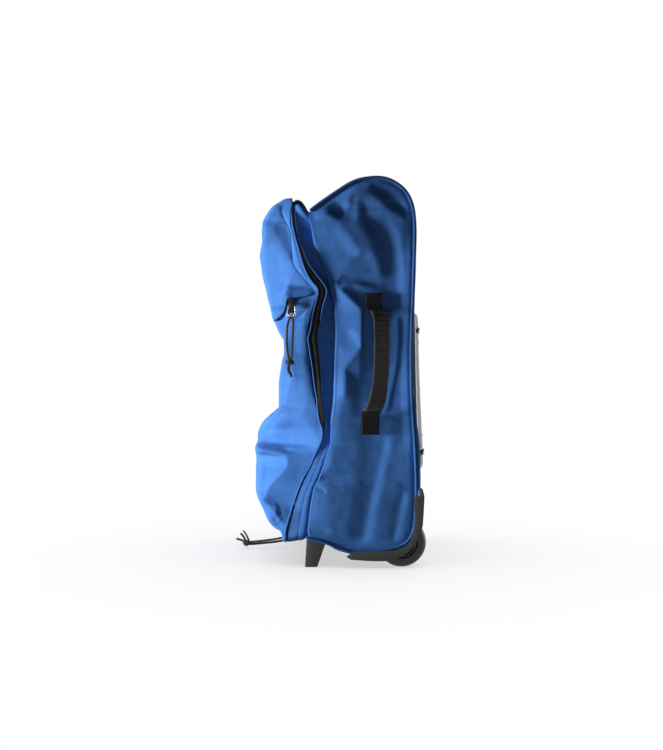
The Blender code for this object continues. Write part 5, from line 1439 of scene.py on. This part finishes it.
def patch_piece(name, y0, y1, end, far, old, y_end):
    """The strap's sewn end: folded back on itself, laid on the panel and boxed with stitching."""
    sgn = 1 if far > end else -1
    mid = (y0 + y1) / 2
    path = [(169.6, far), (169.7, far - sgn * 6), (169.8, end + sgn * 10), (171.2, end + sgn * 5.6), (174.2, end + sgn * 2.2), (176.6, end - sgn * 1.2)]
    p = flow(path, 60)
    C = np.stack([p[:, 0], mid + (y_end - mid) * ease((np.linspace(0, 1, 60) - 0.62) / 0.38) + 0.25 * np.sin(np.linspace(0, 5, 60)), p[:, 1]], 1)
    A = np.tile((0.0, 1.0, 0.0), (60, 1))
    o = webbing(name, C, A, y1 - y0, 2.0, M["patch"])
    ride(o, "bag", old, slot="webbing")
    lo, hi = sorted((end + sgn * 7.5, far - sgn * 2.2))
    y_a, y_b = y0 + 2.2, y1 - 2.2
    parts = []
    x = 171.0
    for a, b in (((y_a, lo), (y_b, lo)), ((y_b, lo), (y_b, hi)), ((y_b, hi), (y_a, hi)), ((y_a, hi), (y_a, lo)), ((y_a, lo), (y_b, hi)), ((y_a, hi), (y_b, lo))):
        q = np.array([(x, a[0], a[1]), (x, b[0], b[1])])
        q = even(q, 30)
        parts += stitches(q, np.tile((1.0, 0, 0), (30, 1)), pitch=2.4, length=1.7, width=0.5, lift=0.0)
    s_o = joined(name + "_thread", parts, M["thread_dark"])
    ride(s_o, "bag", slot="webbing")
    # under layer, a little larger, frayed edge sealed
    low, high = sorted((end + sgn * 3, far + sgn * 0.6))
    v, f, _ = block((167.9, y0 - 0.2, low), (168.7, y1 + 0.2, high), 0.3)
    u_o = finish_mesh(name + "_under", W(v), f, M["patch"], np.stack([v[:, 1], v[:, 2]], 1) * 0.001)
    ride(u_o, "bag", slot="webbing")


patch_piece("side_patch_top", 35.2, 57.4, 360.0, 385.0, "side_handle_patch_top", 50.0)
patch_piece("side_patch_bottom", 29.4, 55.0, 219.5, 187.6, "side_handle_patch_bottom", 43.6)

for part, sgn in (("left", -1), ("right", 1)):
    t = np.linspace(0, 0.5, 110)
    s = np.sin(math.pi * t)
    C = np.stack([sgn * (78.0 - 156.0 * t), np.full(110, 26.0), 542.3 + 4.2 * s**0.8], 1)
    A = np.tile((0.0, 1.0, 0.18), (110, 1))
    o = webbing(f"top_strap_{part}", C, A, 24.6, 1.6, M["webbing"])
    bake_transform(o)
    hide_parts("top_handle_strap")


# ------------------------------------------------------------------ stitching on the fabric
def lay(grid, points, lift=0.0):
    """Points (x?, y, z) put on a grid surface by the nearest grid point: gives places and normals."""
    V = grid.reshape(-1, 3)
    N = grid_normals(grid).reshape(-1, 3)
    out, nor = [], []
    for y, zv in points:
        near = (V[:, 1] - y) ** 2 + (V[:, 2] - zv) ** 2 + np.where(V[:, 0] < 120, 1e6, 0)
        k = np.argsort(near)[:4]
        w = 1 / (near[k] + 0.05)
        w /= w.sum()
        p = (V[k] * w[:, None]).sum(0)
        n = unit((N[k] * w[:, None]).sum(0))
        if n[0] < 0:
            n = -n
        out.append((p[0], y, zv))
        nor.append(n)
    return np.array(out), np.array(nor)


def stitch_line(name, grid, points, body, material="thread", pitch=3.4, length=2.3, width=0.55):
    P, N = lay(grid, even(flow(points, 120) if len(points) > 2 else np.array(points, float), max(int(len(points) * 14), 40)))
    o = joined(name, stitches(P, N, pitch=pitch, length=length, width=width), M[material])
    ride(o, body)


stitch_line("reinforce_stitch_side", SIDE_G, [(53, 393.2), (40, 393.6), (28, 393)], "bag")
stitch_line("reinforce_stitch_front", SIDE_G, [(27, 392), (28.6, 370), (31, 352), (32, 320), (30.5, 290), (28, 262), (27, 240), (25.5, 222)], "bag")
stitch_line("flap_stitch_a", upper_G, [(-89, 391), (-80, 392.6), (-71, 396), (-62, 401), (-51, 407)], "lid")
stitch_line("flap_stitch_b", upper_G, [(-88, 388), (-79, 389.6), (-70, 393), (-61, 398), (-50, 404)], "lid")


# ------------------------------------------------------------------ zip sliders and pull tabs
def pull_tab(name, start, end, across, width, thick, body, old, material, hole=2.2, taper=0.8):
    start, end, across = np.array(start, float), np.array(end, float), unit(np.array(across, float))
    d = unit(end - start)
    nrm = np.cross(d, across)
    length = np.linalg.norm(end - start)
    bm = bmesh.new()
    out = []
    for t, w in ((0.0, taper), (0.08, taper + 0.1), (0.45, 0.92), (0.8, 1.0), (0.95, 0.9), (1.0, 0.62)):
        out.append((t * length, w * width / 2))
    ring = [(y, x) for y, x in out] + [(y, -x) for y, x in out[::-1]]
    vs = [bm.verts.new((x, y, 0)) for y, x in ring]
    hv = []
    hc = length - hole - 1.4
    for k in range(16):
        a = 2 * math.pi * k / 16
        hv.append(bm.verts.new((hole * 0.9 * math.cos(a), hc + hole * 0.9 * math.sin(a), 0)))
    edges = [bm.edges.new((vs[i], vs[(i + 1) % len(vs)])) for i in range(len(vs))]
    edges += [bm.edges.new((hv[i], hv[(i + 1) % 16])) for i in range(16)]
    bmesh.ops.triangle_fill(bm, use_beauty=True, edges=edges)
    bmesh.ops.recalc_face_normals(bm, faces=bm.faces)
    me = bpy.data.meshes.new(name)
    M4 = Matrix((tuple(across * 1.0), tuple(d), tuple(nrm))).transposed().to_4x4()
    for v in bm.verts:
        p = start + across * v.co.x + d * v.co.y
        v.co = Vector(W(p))
    bm.to_mesh(me)
    bm.free()
    me.materials.append(M[material])
    o = bpy.data.objects.new(name, me)
    scene.collection.objects.link(o)
    s = o.modifiers.new("thickness", "SOLIDIFY")
    s.thickness, s.offset = thick * 0.001, 0
    b = o.modifiers.new("edges", "BEVEL")
    b.width, b.segments, b.limit_method, b.angle_limit = 0.00035, 2, "ANGLE", math.radians(50)
    ride(o, body, old, slot="zip_metal")
    return o


pull_tab("main_pull_tab", (SX, -69.8, 37.4), (SX, -82.0, 13.5), (1, 0, 0), 6.2, 1.6, "main_pull", "main_zip_pull", "zip_metal")
# pocket pull: a black fabric tab with a metal ring
outline = [(-3.4, 0.6), (-4.3, 4.0), (-4.4, 9.0), (-4.6, 14.0), (-5.2, 18.4), (-5.7, 22.0), (-5.4, 25.2), (-3.9, 28.2), (0.0, 29.6)]
outline = outline + [(-x, y) for x, y in outline[-2::-1]]
ring_o = flow(outline, 60)
hole = np.array([(3.5 * math.cos(a), 24.2 + 3.3 * math.sin(a)) for a in np.linspace(0, 2 * math.pi, 33)[:-1]])


def tab_point(x, y, out):
    return np.array((168.4 + 0.8 * math.sin(y / 30 * math.pi) + out, -67.9 + x - 0.02 * y, 378.6 - y))


bm = bmesh.new()
vo = [bm.verts.new(Vector(W(tab_point(x, y, 0)))) for x, y in ring_o[:-1]]
vh = [bm.verts.new(Vector(W(tab_point(x, y, 0)))) for x, y in hole]
edges = [bm.edges.new((v[i], v[(i + 1) % len(v)])) for v in (vo, vh) for i in range(len(v))]
bmesh.ops.triangle_fill(bm, use_beauty=True, edges=edges)
bmesh.ops.recalc_face_normals(bm, faces=bm.faces)
me = bpy.data.meshes.new("pocket_pull_tab")
bm.to_mesh(me)
bm.free()
me.materials.append(M["puller"])
o = bpy.data.objects.new("pocket_pull_tab", me)
scene.collection.objects.link(o)
mod = o.modifiers.new("thickness", "SOLIDIFY")
mod.thickness, mod.offset = 0.0017, 0
mod = o.modifiers.new("edges", "BEVEL")
mod.width, mod.segments, mod.limit_method, mod.angle_limit = 0.0004, 2, "ANGLE", math.radians(50)
ride(o, "pocket_pull", "pocket_zip_pull", slot="zip_metal")
parts = []
rim = [tab_point(x, y, 0.7) for x, y in ring_o[8:-9]]
tube("", rim, 0.5, None, sides=8, join=parts)
tube("", [tab_point(x, y, 0.6) for x, y in hole], 0.75, None, sides=8, closed=True, caps=False, join=parts)
o = joined("pocket_pull_ring", parts, M["ring"])
ride(o, "pocket_pull", slot="zip_metal")
v, f, _ = block((168.9, -70.6, 364.2), (170.4, -65.4, 374.6), 0.5)
o = finish_mesh("pocket_pull_ridge", W(v), f, M["puller"], np.stack([v[:, 1], v[:, 2]], 1) * 0.001)
ride(o, "pocket_pull", slot="zip_metal")


def slider(name, centre, ax, ay, az, body, old):
    """A zip slider's body: two rounded plates with a wedge between them and a bridge for the tab; ax across, ay along, az out."""
    ax, ay, az = (unit(np.array(v, float)) for v in (ax, ay, az))
    parts = []
    c = np.array(centre, float)
    for off, th in ((0.9, 0.55), (-0.9, 0.55)):
        pts = []
        for y, x in ((-4.2, 2.4), (-3.4, 3.4), (0, 4.0), (2.8, 4.6), (4.2, 3.8), (4.4, 1.4), (3.4, 0.0)):
            pts.append((y, x))
        full = pts + [(y, -x) for y, x in pts[::-1]]
        base = [c + ay * y + ax * x + az * (off - th) for y, x in full]
        topv = [c + ay * y * 0.94 + ax * x * 0.92 + az * (off + th) for y, x in full]
        n = len(full)
        V = np.array(base + topv)
        F = [tuple(range(n))[::-1], tuple(range(n, 2 * n))] + [(i, (i + 1) % n, n + (i + 1) % n, n + i) for i in range(n)]
        parts.append((V, F, None))
    path = [c + ay * 3.2 + az * 1.2, c + ay * 2.8 + az * 2.6, c + ay * 0.6 + az * 3.2, c - ay * 2.2 + az * 2.8, c - ay * 3.0 + az * 1.2]
    tube("", flow(path, 18), 0.85, None, sides=10, join=parts)
    o = joined(name, parts, M["zip_metal"])
    b = o.modifiers.new("edges", "BEVEL")
    b.width, b.segments, b.limit_method, b.angle_limit = 0.0003, 2, "ANGLE", math.radians(40)
    ride(o, body, old, slot="zip_metal")
    return o


slider("main_slider_body", (SX, -68.0, 39.6), (0, 1, 0), (1, 0, 0), (0, 0, -1), "main_slider", "main_zip_slider")
slider("pocket_slider_body", (166.0, -67.0, 368.0), (0, 0, 1), (0, -1, 0), (1, 0, 0), "pocket_slider", "pocket_zip_slider")

# ------------------------------------------------------------------ the raised end of each corner guard, behind the back edge
BOSS = np.array([(111.0, 96.0), (111.9, 103.5), (113.2, 109.4), (114.3, 112.0), (115.6, 111.2), (117.0, 107.4), (118.0, 102.6), (118.2, 96.0)])
middle = BOSS.mean(0)
ROWS = np.array([[(x, *(middle + (q - middle) * k)) for q in BOSS] for x, k in ((157.5, 0.82), (158.2, 0.94), (159.4, 1.0), (168.6, 1.0), (169.8, 0.94), (170.4, 0.82))])
for sign, word in ((1, "right"), (-1, "left")):
    V = (ROWS * np.array((sign, 1, 1))).reshape(-1, 3)
    n, m = ROWS.shape[:2]
    F = grid_faces(n, m, close_m=True) + [tuple(range(m))[::-1], tuple((n - 1) * m + k for k in range(m))]
    o = finish_mesh(f"guard_boss_{word}", W(V), F, M["plastic"])
    fix_normals(o)
    ride(o, "bag")

# ------------------------------------------------------------------ the moulded plate on the back: flat sides, a shallow crown and a boss round each screw
INNER = [(132, 115.6), (137, 110.6), (146, 108.2), (250, 105.4), (348, 104.7), (362, 104.6)]
OUTER = [(132, 119.8), (134.4, 122.4), (140, 123.7), (146, 123.9), (200, 121.7), (250, 119.4), (300, 117.8), (348, 116.6), (356.6, 115.9), (360.4, 114.4), (362, 111.8)]
LAMPS = ((83, 158), (-83, 158), (83, 336), (-83, 336))
zs = np.r_[np.linspace(132, 146, 22), np.linspace(147, 347, 160), np.linspace(348, 362, 22)]
half = 97 - 4 * (1 - ease((zs - 132) / 8)) ** 2 - 4 * (1 - ease((362 - zs) / 8)) ** 2
outer, inner = along(OUTER, zs), along(INNER, zs)
side_at = np.minimum(outer - 5.0, inner + 3.8 + 0.5 * (outer - inner - 9))
side_at = np.maximum(side_at, inner + 1.0)
cross = [(1.0, 0.0), (1.0, 0.92), (0.997, 1.0)]
prof = []
for i, zv in enumerate(zs):
    row = [(half[i] - 1.5, inner[i]), (half[i], inner[i] + 0.6), (half[i], side_at[i] - 0.4), (half[i] - 0.35, side_at[i])]
    for q in np.linspace(0, 1, 26)[1:]:
        x = (half[i] - 0.35) * (1 - q)
        k = min((1 - x / half[i]) / 0.30, 1.0)
        row.append((x, side_at[i] + (outer[i] - side_at[i]) * (1 - (1 - k) ** 1.35)))
    prof.append(row)
prof = np.array(prof)
full = np.concatenate([prof, prof[:, -2::-1] * np.array((-1, 1))], 1)
G = np.stack([full[..., 0], full[..., 1], np.broadcast_to(zs[:, None], full.shape[:2])], 2)
for x, zv in LAMPS:
    d = np.hypot(G[..., 0] - x, G[..., 2] - zv)
    top = np.interp(zv, zs, outer) - 0.7
    k = ease((6.2 - d) / 1.8) * (G[..., 1] > along(INNER, G[..., 2]) + 3)
    G[..., 1] = G[..., 1] * (1 - k) + np.maximum(G[..., 1], top) * k
# two shallow ribs across, where the plate is pressed
for zv in (182, 250, 318):
    G[..., 1] += 0.7 * np.exp(-(((G[..., 2] - zv) / 1.6) ** 2)) * (G[..., 1] > along(INNER, G[..., 2]) + 3) * ease((92 - np.abs(G[..., 0])) / 4 + 1)
V = G.reshape(-1, 3)
n, m = G.shape[:2]
F = grid_faces(n, m, close_m=True) + [tuple(range(m))[::-1], tuple((n - 1) * m + k for k in range(m))]
o = finish_mesh("back_plate_shell", W(V), F, M["plastic_gloss"])
fix_normals(o)
ride(o, "bag", "back_plate", slot="black_plastic")

# ------------------------------------------------------------------ hard parts that stay as the CAD made them
FINISH = {
    "corner_guard": ("plastic", 0.45), "foot": ("plastic", 0.3), "wheel_housing": ("plastic", 0.4), "back_plate": ("plastic_gloss", 0.5), "plate_screw": ("steel", 0.25),
    "axle": ("steel", 0.3), "tyre": ("rubber", 0.3), "wheel_hub": ("hub", 0.35), "handle_bezel": ("plastic", 0.4), "tube_bracket": ("plastic", 0.4), "outer_tube": ("tube", 0.15),
    "middle_tube": ("tube", 0.15), "inner_tube": ("tube", 0.15), "grip": ("plastic", 0.4), "grip_button": ("plastic_gloss", 0.3), "lock_bar": ("steel", 0.2), "base_board": ("board", 0.4),
    "back_board": ("board", 0.4), "lining_panel": ("lining_flat", 0.3),
}
M["lining_flat"] = plain_material("lining_board", srgb(52, 54, 60), 0.75, grain=2200, grain_depth=0.3)
for name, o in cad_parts.items():
    if o.hide_render:
        continue
    key = max((k for k in FINISH if name.startswith(k)), key=len, default=None)
    if key is None:
        print("NO FINISH", name)
        continue
    mat, bevel = FINISH[key]
    o.data.materials.clear()
    o.data.materials.append(M[mat])
    o.data.polygons.foreach_set("use_smooth", np.full(len(o.data.polygons), True))
    w = o.modifiers.new("weld", "WELD")
    w.merge_threshold = 0.00002
    b = o.modifiers.new("edges", "BEVEL")
    b.width, b.segments, b.limit_method, b.angle_limit = bevel * 0.001, 2, "ANGLE", math.radians(28)
    b.use_clamp_overlap = True
    b.harden_normals = True

# ------------------------------------------------------------------ floor, light
floor_m, t, s = nodes_of("floor")
place = node(t, "TexCoord").outputs["Object"]
base = ramp(t, noise(t, place, 1.3, 2.0), [(0.2, (0.148, 0.148, 0.148)), (0.8, (0.152, 0.152, 0.152))])
t.links.new(base, s.inputs["Base Color"])
s.inputs["Roughness"].default_value = 0.8
s.inputs["Specular IOR Level"].default_value = 0.05
s.inputs["Emission Color"].default_value = (1, 1, 1, 1)
s.inputs["Emission Strength"].default_value = 0.58
me = bpy.data.meshes.new("studio_floor")
me.from_pydata([(-9, -9, 0), (9, -9, 0), (9, 9, 0), (-9, 9, 0)], [], [(0, 1, 2, 3)])
me.materials.append(floor_m)
floor = bpy.data.objects.new("studio_floor", me)
scene.collection.objects.link(floor)
floor.visible_diffuse = False

world = bpy.data.worlds.new("studio")
scene.world = world
world.use_nodes = True
wt = world.node_tree
bg = wt.nodes["Background"]
bg.inputs["Color"].default_value = (1, 1, 1, 1)
rays = wt.nodes.new("ShaderNodeLightPath")
glow = node(wt, "Math", operation="MULTIPLY_ADD")
wt.links.new(rays.outputs["Is Glossy Ray"], glow.inputs[0])
glow.inputs[1].default_value = 0.85
glow.inputs[2].default_value = 0.035
sky = wt.nodes.new("ShaderNodeTexCoord")
up = node(wt, "SeparateXYZ")
wt.links.new(sky.outputs["Generated"], up.inputs[0])
band = ramp(wt, math_node(wt, "MULTIPLY_ADD", up.outputs[2], 0.5, 0.5), [(0.30, (0.5, 0.5, 0.5)), (0.5, (1, 1, 1)), (0.62, (0.75, 0.75, 0.75)), (0.78, (0.10, 0.10, 0.10))])
full = node(wt, "Math", operation="MAXIMUM")
shine = node(wt, "Math", operation="MULTIPLY")
wt.links.new(glow.outputs[0], shine.inputs[0])
wt.links.new(band, shine.inputs[1])
wt.links.new(shine.outputs[0], full.inputs[0])
wt.links.new(rays.outputs["Is Camera Ray"], full.inputs[1])
wt.links.new(full.outputs[0], bg.inputs["Strength"])


bag_only = bpy.data.collections.new("all_but_floor")
bag_only.objects.link(floor)
bag_only.collection_objects[0].light_linking.link_state = "EXCLUDE"


def area(name, at, aim, size, power, size_y=None):
    d = bpy.data.lights.new(name, "AREA")
    d.shape = "RECTANGLE"
    d.size, d.size_y = size, size_y or size
    d.energy = power
    o = bpy.data.objects.new(name, d)
    o.location = at
    o.rotation_euler = (Vector(aim) - Vector(at)).to_track_quat("-Z", "Y").to_euler()
    scene.collection.objects.link(o)
    o.light_linking.receiver_collection = bag_only
    return o


area("key", (0.44, -2.2, 0.14), (0.1, 0, 0.2), 0.60, 116, 0.8)
area("back", (-1.0, 2.2, 0.45), (0, 0.1, 0.28), 1.2, 30, 1.2)
low = area("fill", (0.80, -0.20, 0.05), (0.17, 0, 0.10), 0.9, 0.50, 0.06)
low.visible_camera = False
low.visible_glossy = False
# the floor's own light: soft, from above
d = bpy.data.lights.new("floor_light", "SUN")
d.energy, d.angle = 8.6, math.radians(110)
o = bpy.data.objects.new("floor_light", d)
o.rotation_euler = (0, 0, 0)
scene.collection.objects.link(o)
c = bpy.data.collections.new("floor_only")
c.objects.link(floor)
o.light_linking.receiver_collection = c

scene.view_settings.view_transform = "Standard"
scene.view_settings.look = "None"

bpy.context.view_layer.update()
